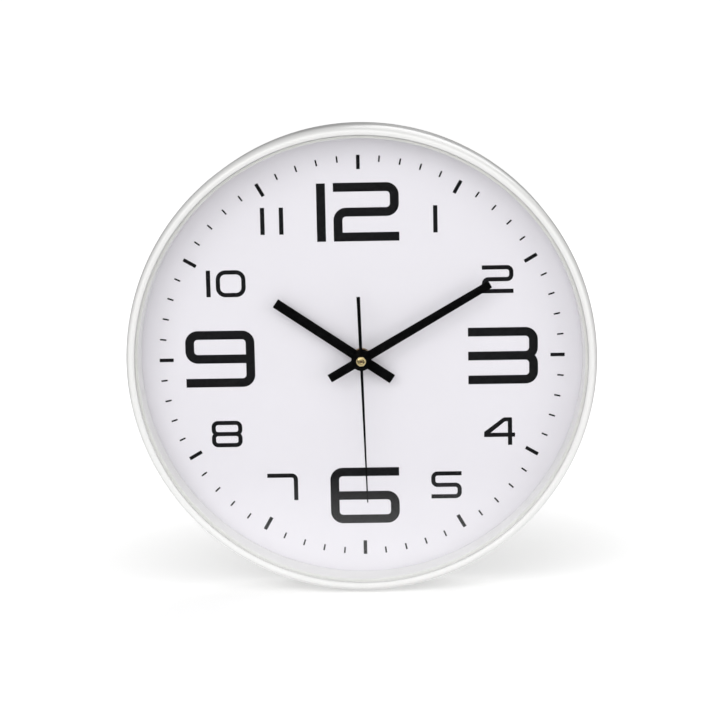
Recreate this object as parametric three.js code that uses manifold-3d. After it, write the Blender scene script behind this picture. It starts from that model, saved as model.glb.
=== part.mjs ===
// A 12 inch quartz wall clock, built as the separate pieces that the real one comes apart into.
//
// Units are millimetres and +Z is up. The clock faces -Y and its back rim lies in the wall plane
// y = 0. The origin is the hanging point: the top of the keyhole slot, projected onto the wall.
//
// Every piece is modelled in dial coordinates inside one turned group: x to the right, y towards
// the 12, z towards the viewer, with z = 0 on the front face of the dial and x = y = 0 on the axis
// that the hands turn on.

import * as THREE from 'three';
import { mergeVertices } from 'three/addons/utils/BufferGeometryUtils.js';
import Module from 'manifold-3d';

const manifold = await Module();
manifold.setup();

// ---------------------------------------------------------------------------------------------
// Driving dimensions

const DIAMETER = 300;              // outside of the case, a 12 inch clock
const REAR_DEPTH = 22;             // wall plane to the front face of the dial
const FRONT_DEPTH = 22.3;          // front face of the dial to the crest of the rim
const DIAL_VIEW_RADIUS = 141.5;    // what the rim's inner wall leaves open
const HANG_HEIGHT = 102.3;         // hands' axis to the top of the keyhole slot
const MOVEMENT_SIZE = 56;          // square housing of a standard quartz movement
const MOVEMENT_DEPTH = 15.4;
const MOVEMENT_FRONT = -4.6;       // height of the movement's front face, behind the dial

const REST_HOUR = 304.3;           // hand angles at rest, in degrees clockwise from 12
const REST_MINUTE = 60;
const REST_SECOND = 178.5;

const GAP = 0.3;                   // left between two pieces that touch
const SMALL_GAP = 0.1;             // the same between pieces of one small sub-assembly

const FINE = 60;                   // sides of the large round pieces
const MEDIUM = 20;
const COARSE = 10;

const OUTER_RADIUS = DIAMETER / 2;
const WALL_Z = -REAR_DEPTH;

// ---------------------------------------------------------------------------------------------
// Geometry helpers

const radians = THREE.MathUtils.degToRad;
const turn = 2 * Math.PI;

function polar(radius, angle, [x, y] = [0, 0]) {
  return new THREE.Vector2(x + radius * Math.cos(angle), y + radius * Math.sin(angle));
}

function circle(radius, sides = MEDIUM, centre = [0, 0]) {
  return Array.from({ length: sides }, (_, i) => polar(radius, (i / sides) * turn, centre));
}

function rectangle(left, bottom, right, top) {
  return [[left, bottom], [right, bottom], [right, top], [left, top]].map(
    ([x, y]) => new THREE.Vector2(x, y),
  );
}

function roundedRectangle(left, bottom, right, top, radius, steps = 4) {
  const corners = [
    [right - radius, top - radius],
    [left + radius, top - radius],
    [left + radius, bottom + radius],
    [right - radius, bottom + radius],
  ];
  return corners.flatMap((centre, quarter) =>
    Array.from({ length: steps + 1 }, (_, i) =>
      polar(radius, ((quarter + i / steps) * turn) / 4, centre),
    ),
  );
}

// A flat piece: an outline with holes in it, from height low to height high.
function prism(outline, low, high, holes = []) {
  const shape = new THREE.Shape(outline);
  shape.holes = holes.map((points) => new THREE.Path(points));
  const geometry = new THREE.ExtrudeGeometry(shape, { depth: high - low, bevelEnabled: false });
  return geometry.translate(0, 0, low);
}

function box(left, right, bottom, top, low, high) {
  return prism(rectangle(left, bottom, right, top), low, high);
}

// A turned piece about the z axis. The profile is a list of [radius, height] that runs
// anticlockwise, and either closes on itself or starts and ends on the axis.
function turned(profile, sides = MEDIUM) {
  const points = profile.map(([radius, height]) => new THREE.Vector2(radius, height));
  return new THREE.LatheGeometry(points, sides).rotateX(Math.PI / 2);
}

function ring(inner, outer, low, high, sides = MEDIUM, innerSides = sides) {
  return prism(circle(outer, sides), low, high, [circle(inner, innerSides)]);
}

// Points of a quarter ellipse from one angle to another, for a profile.
function ellipseArc(centreRadius, centreHeight, halfWidth, halfHeight, from, to, steps) {
  return Array.from({ length: steps + 1 }, (_, i) => {
    const angle = radians(from + ((to - from) * i) / steps);
    return [centreRadius + halfWidth * Math.cos(angle), centreHeight + halfHeight * Math.sin(angle)];
  });
}

function toSolid(geometry) {
  const bare = geometry.clone();
  bare.deleteAttribute('normal');
  bare.deleteAttribute('uv');
  const merged = mergeVertices(bare);
  const corners = [...merged.index.array];
  const triangles = [];
  for (let i = 0; i < corners.length; i += 3) {
    const [a, b, c] = corners.slice(i, i + 3);
    if (a !== b && b !== c && c !== a) triangles.push(a, b, c);
  }
  return new manifold.Manifold(
    new manifold.Mesh({
      numProp: 3,
      vertProperties: merged.attributes.position.array,
      triVerts: new Uint32Array(triangles),
    }),
  );
}

function toGeometry(solid) {
  const mesh = solid.getMesh();
  const geometry = new THREE.BufferGeometry();
  geometry.setAttribute('position', new THREE.BufferAttribute(mesh.vertProperties, 3));
  geometry.setIndex(new THREE.BufferAttribute(mesh.triVerts, 1));
  return geometry;
}

function join(...geometries) {
  return toGeometry(geometries.map(toSolid).reduce((sum, solid) => sum.add(solid)));
}

function cut(geometry, ...tools) {
  return toGeometry(tools.map(toSolid).reduce((rest, tool) => rest.subtract(tool), toSolid(geometry)));
}

// ---------------------------------------------------------------------------------------------
// Materials

function finish(color, roughness, metalness = 0, extra = {}) {
  return new THREE.MeshStandardMaterial({ color, roughness, metalness, flatShading: true, ...extra });
}

const casePlastic = finish(0xf4f4f1, 0.22);
const glass = finish(0xf2f7f8, 0.03, 0, { transparent: true, opacity: 0.2 });
const sealFoam = finish(0xe9e9e6, 0.85);
const dialSheet = finish(0xf3f3f5, 0.55);
const platePlastic = finish(0xe9e9e5, 0.5);
const handPaint = finish(0x101011, 0.5);
const brass = finish(0xc9a95c, 0.3, 0.95);
const zincSteel = finish(0xb9bcc0, 0.35, 0.95);
const arborSteel = finish(0xc9ccd0, 0.2, 1);
const housingPlastic = finish(0x1c1c1e, 0.55);
const coverPlastic = finish(0x242427, 0.5);
const gearWhite = finish(0xefefe8, 0.45);
const gearNatural = finish(0xe3dfcf, 0.45);
const gearBlue = finish(0x7da6c9, 0.45);
const knobPlastic = finish(0xd8d8d4, 0.5);
const rubber = finish(0x17171a, 0.85);
const ferrite = finish(0x3b3a3c, 0.6, 0.3);
const silicon = finish(0x9a9da2, 0.35, 0.9);
const bobbinPlastic = finish(0xf0ead6, 0.5);
const copper = finish(0xb4552c, 0.3, 0.8);
const boardLaminate = finish(0x2f6a3c, 0.5);
const epoxy = finish(0x121214, 0.35);
const springSteel = finish(0xc3c5c8, 0.25, 1);
const cellSleeve = finish(0x3a4a5c, 0.35, 0.2);

// ---------------------------------------------------------------------------------------------
// The clock in dial coordinates

const group = new THREE.Group();
const clock = new THREE.Group();
clock.position.set(0, -REAR_DEPTH, -HANG_HEIGHT);
clock.rotation.x = Math.PI / 2;
group.add(clock);

function add(name, geometry, material, [x, y, z] = [0, 0, 0], angle = 0) {
  const mesh = new THREE.Mesh(geometry, material);
  mesh.name = name;
  mesh.position.set(x, y, z);
  mesh.rotation.z = angle;
  clock.add(mesh);
}

// ---------------------------------------------------------------------------------------------
// Case: frame, glass, dial, back plate and its screws

const LIP_RADIUS = 144;            // opening at the front, just wider than the glass
const LEDGE_Z = 17.3;              // ledge that the glass is bonded to
const WALL_FOOT_Z = GAP;           // foot of the inner wall, on the dial
const WALL_OUTER_RADIUS = 143.8;
const WIDEST_Z = 10.4;             // the outside is widest here and drafts back to the wall
const SKIRT_INNER_FRONT = 147.7;
const SKIRT_INNER_REAR = 146.9;
const SKIRT_OUTER_REAR = 149.2;
const CHANNEL_ROOF_Z = 15.5;
const CREST_RADIUS = 146.4;
const LIP_Z = 20.6;
const BOSS = { inner: 142.6, outer: 148.2, half: 2.8 };

const GLASS = { radius: LIP_RADIUS - 0.4, low: 18.2, high: 20.2, edge: 0.4 };
const DIAL_RADIUS = 142.9;
const DIAL_THICKNESS = 1;
const SHAFT_HOLE_RADIUS = 4.4;     // through the dial and the back plate

const PLATE_FRONT_Z = -1.3;
const PLATE_REAR_Z = -3.3;
const PLATE_RADIUS = 146.4;

const SCREW_COUNT = 6;
const SCREW_CIRCLE = 144.5;
const SCREW_RADIUS = 1.1;
const SCREW_HEAD_RADIUS = 2.4;
const SCREW_HEAD_HEIGHT = 1.8;
const SCREW_TIP_Z = 8.5;
const screwAngles = Array.from({ length: SCREW_COUNT }, (_, i) => radians(30 + (360 / SCREW_COUNT) * i));

function caseFrame() {
  const crestHeight = FRONT_DEPTH - WIDEST_Z;
  const profile = [
    [SKIRT_OUTER_REAR, WALL_Z],
    ...ellipseArc(CREST_RADIUS, WIDEST_Z, OUTER_RADIUS - CREST_RADIUS, crestHeight, 0, 90, 5),
    ...ellipseArc(CREST_RADIUS, LIP_Z, CREST_RADIUS - LIP_RADIUS, FRONT_DEPTH - LIP_Z, 120, 180, 2),
    [LIP_RADIUS, LEDGE_Z],
    [DIAL_VIEW_RADIUS + 0.4, LEDGE_Z],
    [DIAL_VIEW_RADIUS, WALL_FOOT_Z],
    [WALL_OUTER_RADIUS, WALL_FOOT_Z],
    [WALL_OUTER_RADIUS, CHANNEL_ROOF_Z],
    [SKIRT_INNER_FRONT, CHANNEL_ROOF_Z],
    [SKIRT_INNER_REAR, WALL_Z],
    [SKIRT_OUTER_REAR, WALL_Z],
  ];
  const shell = turned(profile, FINE);
  const bosses = screwAngles.map((angle) =>
    box(BOSS.inner, BOSS.outer, -BOSS.half, BOSS.half, WALL_FOOT_Z, CHANNEL_ROOF_Z + 0.5).rotateZ(angle),
  );
  const pilots = screwAngles.map((angle) => {
    const { x, y } = polar(SCREW_CIRCLE, angle);
    return prism(circle(SCREW_RADIUS + 0.2, COARSE, [x, y]), -1, SCREW_TIP_Z + 1);
  });
  return cut(join(shell, ...bosses), ...pilots);
}

function glassLens() {
  const { radius, low, high, edge } = GLASS;
  const profile = [[0, low], [radius, low], [radius, high - edge], [radius - edge, high], [0, high]];
  return turned(profile, FINE);
}

// Stiffening ribs on the back plate, and the low frame that the movement nests in.
const RIBS = { hoopInner: 118, spokeInner: 44, thickness: 1.6, depth: 3, spokeCount: 8 };
const NEST = { clearance: 0.5, wall: 1.5, depth: 5 };

// Keyhole: the screw head goes in at the round entry and the shank slides up the slot.
const POCKET = { half: 15, bottom: 82, top: 110, wall: 2, rear: -20.8, floor: 2.2 };
const SLOT_RADIUS = 2.3;
const SLOT_TOP = HANG_HEIGHT - SLOT_RADIUS;
const ENTRY_RADIUS = 4.8;
const ENTRY_Y = 90.5;

function backPlate() {
  const disc = prism(circle(PLATE_RADIUS, FINE), PLATE_REAR_Z, PLATE_FRONT_Z);
  const { hoopInner, spokeInner, thickness, depth, spokeCount } = RIBS;
  const ribLow = PLATE_REAR_Z - depth;
  const ribHigh = PLATE_REAR_Z + 0.2;
  const hoop = ring(hoopInner, hoopInner + thickness, ribLow, ribHigh, 40);
  const spokes = Array.from({ length: spokeCount }, (_, i) =>
    box(spokeInner, hoopInner + thickness / 3, -thickness / 2, thickness / 2, ribLow, ribHigh)
      .rotateZ(((i + 0.5) / spokeCount) * turn),
  );
  const inner = MOVEMENT_SIZE / 2 + NEST.clearance;
  const outer = inner + NEST.wall;
  const nestFrame = prism(
    roundedRectangle(-outer, -outer, outer, outer, 4, 2),
    PLATE_REAR_Z - NEST.depth,
    ribHigh,
    [roundedRectangle(-inner, -inner, inner, inner, 2.5, 2)],
  );
  const { half, bottom, top, wall, rear, floor } = POCKET;
  const pocket = prism(roundedRectangle(-half, bottom, half, top, 3, 3), rear, ribHigh);
  const hollow = prism(
    roundedRectangle(-half + wall, bottom + wall, half - wall, top - wall, 1.5, 2),
    rear + floor,
    PLATE_FRONT_Z + 1,
  );
  const entry = prism(circle(ENTRY_RADIUS, MEDIUM, [0, ENTRY_Y]), rear - 1, rear + floor + 1);
  const slot = prism(
    roundedRectangle(-SLOT_RADIUS, ENTRY_Y, SLOT_RADIUS, SLOT_TOP + SLOT_RADIUS, SLOT_RADIUS - 0.01, 6),
    rear - 1,
    rear + floor + 1,
  );
  const shaftHole = prism(circle(SHAFT_HOLE_RADIUS), PLATE_REAR_Z - 1, PLATE_FRONT_Z + 1);
  const screwHoles = screwAngles.map((angle) => {
    const { x, y } = polar(SCREW_CIRCLE, angle);
    return prism(circle(SCREW_RADIUS + 0.4, COARSE, [x, y]), PLATE_REAR_Z - 1, PLATE_FRONT_Z + 1);
  });
  return cut(
    join(disc, hoop, ...spokes, nestFrame, pocket),
    hollow,
    entry,
    slot,
    shaftHole,
    ...screwHoles,
  );
}

function caseScrew() {
  const seat = PLATE_REAR_Z - GAP;
  const headTop = seat - SCREW_HEAD_HEIGHT;
  const profile = [
    [0, headTop],
    [SCREW_HEAD_RADIUS - 0.8, headTop],
    [SCREW_HEAD_RADIUS, headTop + 0.8],
    [SCREW_HEAD_RADIUS, seat],
    [SCREW_RADIUS, seat],
    [SCREW_RADIUS, SCREW_TIP_Z - 1.5],
    [0, SCREW_TIP_Z],
  ];
  return turned(profile, COARSE);
}

add('case_frame', caseFrame(), casePlastic);
add('glass_lens', glassLens(), glass);
add('glass_seal', ring(GLASS.radius - 1.5, GLASS.radius, LEDGE_Z + 0.2, GLASS.low - 0.2, FINE), sealFoam);
add('dial_plate', ring(SHAFT_HOLE_RADIUS, DIAL_RADIUS, -DIAL_THICKNESS, 0, FINE, MEDIUM), dialSheet);
add('back_plate', backPlate(), platePlastic);
screwAngles.forEach((angle, i) => {
  const { x, y } = polar(SCREW_CIRCLE, angle);
  add(`case_screw_${i + 1}`, caseScrew(), zincSteel, [x, y, 0]);
});

// ---------------------------------------------------------------------------------------------
// Gear teeth. All the wheels use low, slim teeth with generous backlash.

const ADDENDUM = 0.7;              // in modules
const DEDENDUM = 1.0;
const ROOT_HALF = 0.23;            // half tooth widths, as a share of the tooth pitch
const TIP_HALF = 0.1;

function gearOutline(teeth, module, phase) {
  const pitchRadius = (teeth * module) / 2;
  const tip = pitchRadius + ADDENDUM * module;
  const root = pitchRadius - DEDENDUM * module;
  const corners = [[root, -ROOT_HALF], [tip, -TIP_HALF], [tip, TIP_HALF], [root, ROOT_HALF]];
  return Array.from({ length: teeth }, (_, i) => i).flatMap((i) =>
    corners.map(([radius, share]) => polar(radius, phase + ((i + share) / teeth) * turn)),
  );
}

// Phase that puts the driven gear's gaps on the driving gear's teeth. The direction runs from the
// driving gear's centre to the driven one's.
function meshPhase(drivingTeeth, drivingPhase, drivenTeeth, direction) {
  const offset = ((direction - drivingPhase) / turn) * drivingTeeth;
  return direction + Math.PI + ((offset - Math.floor(offset) - 0.5) / drivenTeeth) * turn;
}

const directionTo = ([x, y]) => Math.atan2(y, x);

// ---------------------------------------------------------------------------------------------
// Where the arbors stand in the movement, and the trains that run on them

const TRAIN_DISTANCE = 9;          // centre arbor to the third wheel, and to the minute wheel
const STEP_DISTANCE = 9.3;         // centre arbor to the step wheel
const ROTOR_DISTANCE = 7;          // step wheel to the rotor
const THIRD = polar(TRAIN_DISTANCE, radians(150)).toArray();
const MINUTE_WHEEL = [-TRAIN_DISTANCE, 0];
const ROTOR = [12, 9];
const STEP = stepWheelCentre();
const SETTING = polar(TRAIN_DISTANCE, radians(200), MINUTE_WHEEL).toArray();

// The step wheel stands where both its mesh distances hold.
function stepWheelCentre() {
  const [x, y] = ROTOR;
  const span = Math.hypot(x, y);
  const along = (STEP_DISTANCE ** 2 - ROTOR_DISTANCE ** 2 + span ** 2) / (2 * span);
  const across = Math.sqrt(STEP_DISTANCE ** 2 - along ** 2);
  return [(along * x - across * y) / span, (along * y + across * x) / span];
}

const TEETH = {
  rotor: 8,
  stepWheel: 48,
  stepPinion: 8,
  seconds: 40,
  secondsPinion: 8,
  third: 60,
  thirdPinion: 8,
  centre: 64,
  cannon: 12,
  minuteWheel: 36,
  minutePinion: 10,
  hour: 40,
  setting: 12,
};
const moduleOf = (distance, a, b) => (2 * distance) / (a + b);
const MODULE = {
  rotor: moduleOf(ROTOR_DISTANCE, TEETH.rotor, TEETH.stepWheel),
  seconds: moduleOf(STEP_DISTANCE, TEETH.stepPinion, TEETH.seconds),
  third: moduleOf(TRAIN_DISTANCE, TEETH.secondsPinion, TEETH.third),
  centre: moduleOf(TRAIN_DISTANCE, TEETH.thirdPinion, TEETH.centre),
  minute: moduleOf(TRAIN_DISTANCE, TEETH.cannon, TEETH.minuteWheel),
  hour: moduleOf(TRAIN_DISTANCE, TEETH.minutePinion, TEETH.hour),
};

// Layers, as depths behind the movement's front face.
const LAYER = {
  frontWall: [0, 1.2],
  bushFlange: [1.3, 2.1],
  hourWheel: [2.5, 3.4],
  minutePinion: [2.4, 3.7],
  minuteWheel: [3.8, 4.6],
  cannon: [3.7, 4.7],
  middlePlate: [5, 5.8],
  thirdPinion: [6, 7.1],
  centreWheel: [6.1, 6.8],
  clutchSpring: [6.95, 7.1],
  stator: [7.2, 8.2],
  magnet: [6.5, 8.9],
  thirdWheel: [7.4, 8.1],
  secondsPinion: [7.4, 8.75],
  secondsWheel: [8.7, 9.4],
  stepPinion: [8.6, 10.05],
  stepWheel: [10, 10.7],
  rotorPinion: [9.8, 10.9],
  board: [9, 10],
  bosses: [11.4, 14.2],
  rearCover: [14.1, MOVEMENT_DEPTH],
};
const ARBOR_ENDS = [5.2, 12.9];
const ARBOR_RADIUS = 0.45;
const PIVOT_HOLE_RADIUS = 0.62;

// Height of a depth behind the movement's front face.
const behind = (depth) => MOVEMENT_FRONT - depth;

function layerPrism(outline, [from, to], holes = []) {
  return prism(outline, behind(to), behind(from), holes);
}

function gearLayer(teeth, module, phase, layer) {
  return layerPrism(gearOutline(teeth, module, phase), layer);
}

// A round tool that cuts a bore along the hands' axis, through everything in its way.
function bore(radius, sides = MEDIUM) {
  return prism(circle(radius, sides), WALL_Z, FRONT_DEPTH);
}

const arbor = () => layerPrism(circle(ARBOR_RADIUS, COARSE), ARBOR_ENDS);

// ---------------------------------------------------------------------------------------------
// Movement case: front housing, rear cover, middle plate and the hardware on the dial

const HALF = MOVEMENT_SIZE / 2;
const SIDE_WALL = 1.4;
const INSIDE = HALF - SIDE_WALL;
const DIVIDER = { bottom: -11.2, top: -10 };
const COVER_SEAT = 13.8;
const SETTING_KNOB_RADIUS = 5.2;

const platePosts = [[-19, 8], [13, -6], [13.5, 12.2]];
const statorPosts = [[18.4, 17.6], [18.4, 1]];
const boardPosts = [[-21, 23], [3, 22]];

function post([x, y], radius, top) {
  return layerPrism(circle(radius, COARSE, [x, y]), [LAYER.frontWall[1] - 0.2, top]);
}

function movementHousing() {
  const outline = roundedRectangle(-HALF, -HALF, HALF, HALF, 3, 3);
  const block = layerPrism(outline, [0, MOVEMENT_DEPTH]);
  const inner = [LAYER.frontWall[1], MOVEMENT_DEPTH + 1];
  const gearRoom = layerPrism(rectangle(-INSIDE, DIVIDER.top, INSIDE, INSIDE), inner);
  const cellBay = layerPrism(rectangle(-INSIDE, -INSIDE, INSIDE, DIVIDER.bottom), inner);
  const coverSeat = layerPrism(
    rectangle(-HALF - 1, DIVIDER.bottom + 0.4, HALF + 1, HALF + 1),
    [COVER_SEAT, MOVEMENT_DEPTH + 1],
  );
  const bushHole = layerPrism(circle(4.1), [-1, LAYER.frontWall[1] + 1]);
  const stripNotches = [-1, 1].map((side) => {
    const [near, far] = [side * 25.6, side * INSIDE].sort((a, b) => a - b);
    return layerPrism(rectangle(near, DIVIDER.bottom - 1, far, DIVIDER.top + 1), [7, COVER_SEAT + 1]);
  });
  const posts = [
    ...platePosts.map((place) => post(place, 1.2, LAYER.middlePlate[0] - 0.2)),
    ...statorPosts.map((place) => post(place, 0.9, LAYER.stator[0] - 0.2)),
    ...boardPosts.map((place) => post(place, 1.2, LAYER.board[0] - 0.2)),
    post(MINUTE_WHEEL, 0.6, LAYER.middlePlate[0] - 0.1),
  ];
  return join(cut(block, gearRoom, cellBay, coverSeat, bushHole, ...stripNotches), ...posts);
}

function movementCover() {
  const [front, rear] = LAYER.rearCover;
  const outline = roundedRectangle(-HALF, DIVIDER.bottom + 0.7, HALF, HALF, 1.5, 3);
  const plate = layerPrism(outline, [front, rear]);
  const pivots = [[0, 0], THIRD, STEP, ROTOR];
  const bosses = pivots.map((place) => layerPrism(circle(1.5, COARSE, place), LAYER.bosses));
  const tabs = [-18, 16].map((x) =>
    layerPrism(rectangle(x - 3, INSIDE - 1, x + 3, INSIDE - 0.2), [10.6, front + 0.1]),
  );
  const holes = pivots.map((place) =>
    layerPrism(circle(PIVOT_HOLE_RADIUS, COARSE, place), [LAYER.bosses[0] - 1, ARBOR_ENDS[1] + 0.3]),
  );
  const knobHole = layerPrism(circle(SETTING_KNOB_RADIUS + 0.5, MEDIUM, SETTING), [front - 1, rear + 1]);
  return cut(join(plate, ...bosses, ...tabs), ...holes, knobHole);
}

function middlePlate() {
  const holes = [
    circle(2, MEDIUM),
    circle(PIVOT_HOLE_RADIUS, COARSE, THIRD),
    circle(PIVOT_HOLE_RADIUS, COARSE, STEP),
    circle(PIVOT_HOLE_RADIUS, COARSE, ROTOR),
    circle(1.3, COARSE, SETTING),
  ];
  return layerPrism(roundedRectangle(-21, -9.3, 16.5, 13.8, 2, 3), LAYER.middlePlate, holes);
}

const BUSH_RADIUS = 3.9;
const BUSH_BORE = 2.9;
const BUSH_TOP_Z = 4.6;
const BUSH_FLANGE_RADIUS = 6;

function threadedBush() {
  const [front, rear] = LAYER.bushFlange.map(behind);
  const profile = [
    [BUSH_BORE, rear],
    [BUSH_FLANGE_RADIUS, rear],
    [BUSH_FLANGE_RADIUS, front],
    [BUSH_RADIUS, front],
    [BUSH_RADIUS, BUSH_TOP_Z - 0.4],
    [BUSH_RADIUS - 0.4, BUSH_TOP_Z],
    [BUSH_BORE, BUSH_TOP_Z],
    [BUSH_BORE, rear],
  ];
  return turned(profile);
}

const WASHER_INNER = BUSH_RADIUS + 0.3;
const BRASS_WASHER = { outer: 6.3, low: 0.2, high: 0.8 };
const NUT = { acrossFlats: 10.4, low: 1, high: 3.4 };
const RUBBER_WASHER_RADIUS = 12;

function hexNut() {
  const hexagon = circle(NUT.acrossFlats / 2 / Math.cos(Math.PI / 6), 6);
  return prism(hexagon, NUT.low, NUT.high, [circle(BUSH_RADIUS + 0.2)]);
}

add('movement_housing', movementHousing(), housingPlastic);
add('movement_cover', movementCover(), coverPlastic);
add('middle_plate', middlePlate(), gearWhite);
add('threaded_bush', threadedBush(), brass);
add(
  'rubber_washer',
  ring(WASHER_INNER, RUBBER_WASHER_RADIUS, MOVEMENT_FRONT + GAP, PLATE_REAR_Z - GAP),
  rubber,
);
add('brass_washer', ring(WASHER_INNER, BRASS_WASHER.outer, BRASS_WASHER.low, BRASS_WASHER.high), brass);
add('dial_nut', hexNut(), brass);

// ---------------------------------------------------------------------------------------------
// Seconds train: rotor, step wheel, seconds wheel, third wheel, centre wheel

const phase = {};
phase.rotor = 0;
phase.stepWheel = meshPhase(
  TEETH.rotor,
  phase.rotor,
  TEETH.stepWheel,
  directionTo([STEP[0] - ROTOR[0], STEP[1] - ROTOR[1]]),
);
phase.stepPinion = 0;
phase.seconds = meshPhase(
  TEETH.stepPinion,
  phase.stepPinion,
  TEETH.seconds,
  directionTo([-STEP[0], -STEP[1]]),
);
phase.secondsPinion = 0;
phase.third = meshPhase(TEETH.secondsPinion, phase.secondsPinion, TEETH.third, directionTo(THIRD));
phase.thirdPinion = 0;
phase.centre = meshPhase(
  TEETH.thirdPinion,
  phase.thirdPinion,
  TEETH.centre,
  directionTo([-THIRD[0], -THIRD[1]]),
);

const rotorPinion = join(
  arbor(),
  gearLayer(TEETH.rotor, MODULE.rotor, phase.rotor, LAYER.rotorPinion),
);
const stepWheel = join(
  arbor(),
  gearLayer(TEETH.stepWheel, MODULE.rotor, phase.stepWheel, LAYER.stepWheel),
  gearLayer(TEETH.stepPinion, MODULE.seconds, phase.stepPinion, LAYER.stepPinion),
);
const secondsWheel = cut(
  join(
    gearLayer(TEETH.seconds, MODULE.seconds, phase.seconds, LAYER.secondsWheel),
    gearLayer(TEETH.secondsPinion, MODULE.third, phase.secondsPinion, LAYER.secondsPinion),
  ),
  bore(PIVOT_HOLE_RADIUS, COARSE),
);
const thirdWheel = join(
  arbor(),
  gearLayer(TEETH.third, MODULE.third, phase.third, LAYER.thirdWheel),
  gearLayer(TEETH.thirdPinion, MODULE.centre, phase.thirdPinion, [LAYER.thirdPinion[0], 7.5]),
);
const centreWheel = cut(
  gearLayer(TEETH.centre, MODULE.centre, phase.centre, LAYER.centreWheel),
  bore(1.9),
);

const SECONDS_ARBOR_RADIUS = 0.5;
const SECONDS_ARBOR_TOP = 14.2;

add('rotor_pinion', rotorPinion, gearWhite, [...ROTOR, 0]);
add('rotor_magnet', ring(0.7, 2.2, behind(LAYER.magnet[1]), behind(LAYER.magnet[0])), ferrite, [...ROTOR, 0]);
add('step_wheel', stepWheel, gearWhite, [...STEP, 0]);
add('seconds_wheel', secondsWheel, gearNatural);
add(
  'seconds_arbor',
  prism(circle(SECONDS_ARBOR_RADIUS, COARSE), behind(ARBOR_ENDS[1]), SECONDS_ARBOR_TOP),
  arborSteel,
);
add('third_wheel', thirdWheel, gearBlue, [...THIRD, 0]);
add('centre_wheel', centreWheel, gearNatural);

// ---------------------------------------------------------------------------------------------
// Motion work: minute pipe, minute wheel, hour wheel and the setting gear with its knob

const MINUTE_PIPE = { inner: 0.8, outer: 1.55, top: 10.6 };
const HOUR_PIPE = { inner: 1.85, outer: 2.55, top: 7 };

phase.cannon = 0;
phase.minuteWheel = meshPhase(TEETH.cannon, phase.cannon, TEETH.minuteWheel, directionTo(MINUTE_WHEEL));
phase.minutePinion = 0;
phase.hour = meshPhase(
  TEETH.minutePinion,
  phase.minutePinion,
  TEETH.hour,
  directionTo([-MINUTE_WHEEL[0], -MINUTE_WHEEL[1]]),
);
phase.setting = meshPhase(
  TEETH.minuteWheel,
  phase.minuteWheel,
  TEETH.setting,
  directionTo([SETTING[0] - MINUTE_WHEEL[0], SETTING[1] - MINUTE_WHEEL[1]]),
);

const minutePipe = cut(
  join(
    prism(circle(MINUTE_PIPE.outer), behind(LAYER.clutchSpring[1] + 0.1), MINUTE_PIPE.top),
    gearLayer(TEETH.cannon, MODULE.minute, phase.cannon, LAYER.cannon),
  ),
  bore(MINUTE_PIPE.inner),
);
const hourWheel = cut(
  join(
    gearLayer(TEETH.hour, MODULE.hour, phase.hour, LAYER.hourWheel),
    prism(circle(HOUR_PIPE.outer), behind(LAYER.hourWheel[1]), HOUR_PIPE.top),
  ),
  bore(HOUR_PIPE.inner),
);
const minuteWheel = cut(
  join(
    gearLayer(TEETH.minuteWheel, MODULE.minute, phase.minuteWheel, LAYER.minuteWheel),
    gearLayer(TEETH.minutePinion, MODULE.hour, phase.minutePinion, [LAYER.minutePinion[0], 3.9]),
  ),
  bore(0.8, COARSE),
);
const settingGear = join(
  gearLayer(TEETH.setting, MODULE.minute, phase.setting, LAYER.cannon),
  layerPrism(circle(1, COARSE), [LAYER.cannon[0], LAYER.rearCover[0]]),
);

function settingKnob() {
  const ridges = 20;
  const depth = 0.35;
  const outline = Array.from({ length: 2 * ridges }, (_, i) =>
    polar(SETTING_KNOB_RADIUS - (i % 2) * depth, (i / (2 * ridges)) * turn),
  );
  return layerPrism(outline, [LAYER.rearCover[0] + 0.1, MOVEMENT_DEPTH + 0.4]);
}

add('minute_pipe', minutePipe, gearWhite);
add('clutch_spring', ring(1.7, 4, behind(LAYER.clutchSpring[1]), behind(LAYER.clutchSpring[0])), springSteel);
add('hour_wheel', hourWheel, gearWhite);
add('minute_wheel', minuteWheel, gearNatural, [...MINUTE_WHEEL, 0]);
add('setting_gear', settingGear, gearWhite, [...SETTING, 0]);
add('setting_knob', settingKnob(), knobPlastic, [...SETTING, 0]);

// ---------------------------------------------------------------------------------------------
// Stepping motor and electronics

const POLE = { left: 8.9, right: 15.1, bottom: -1, top: 19.4 };
const LEG = { right: 24.6, lowerTop: 3.1, upperBottom: 15.9 };
const COIL = { x: 22, depth: 9.1, bottom: 3.4, top: 15.6, flange: 0.8 };

function stator() {
  const outline = [
    [POLE.left, POLE.bottom],
    [LEG.right, POLE.bottom],
    [LEG.right, LEG.lowerTop],
    [POLE.right, LEG.lowerTop],
    [POLE.right, LEG.upperBottom],
    [LEG.right, LEG.upperBottom],
    [LEG.right, POLE.top],
    [POLE.left, POLE.top],
  ].map(([x, y]) => new THREE.Vector2(x, y));
  return layerPrism(outline, LAYER.stator, [circle(2.6, MEDIUM, ROTOR)]);
}

// A prism that runs up the coil's axis, with its outline in x and depth about that axis.
function alongCoil(outline, bottom, top, holes = []) {
  return prism(outline, bottom, top, holes)
    .rotateX(-Math.PI / 2)
    .translate(COIL.x, 0, behind(COIL.depth));
}

function coilBobbin() {
  const core = rectangle(-1.6, -0.8, 1.6, 0.8);
  const flange = roundedRectangle(-3.2, -3.2, 3.2, 3.2, 0.8, 2);
  return cut(
    join(
      alongCoil(rectangle(-2, -1.2, 2, 1.2), COIL.bottom, COIL.top),
      alongCoil(flange, COIL.bottom, COIL.bottom + COIL.flange),
      alongCoil(flange, COIL.top - COIL.flange, COIL.top),
    ),
    alongCoil(core, COIL.bottom - 1, COIL.top + 1),
  );
}

const BOARD = { left: -25.4, right: 25, bottom: 14.6, step: 20.4, stepX: 7.5, top: 25 };

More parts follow.
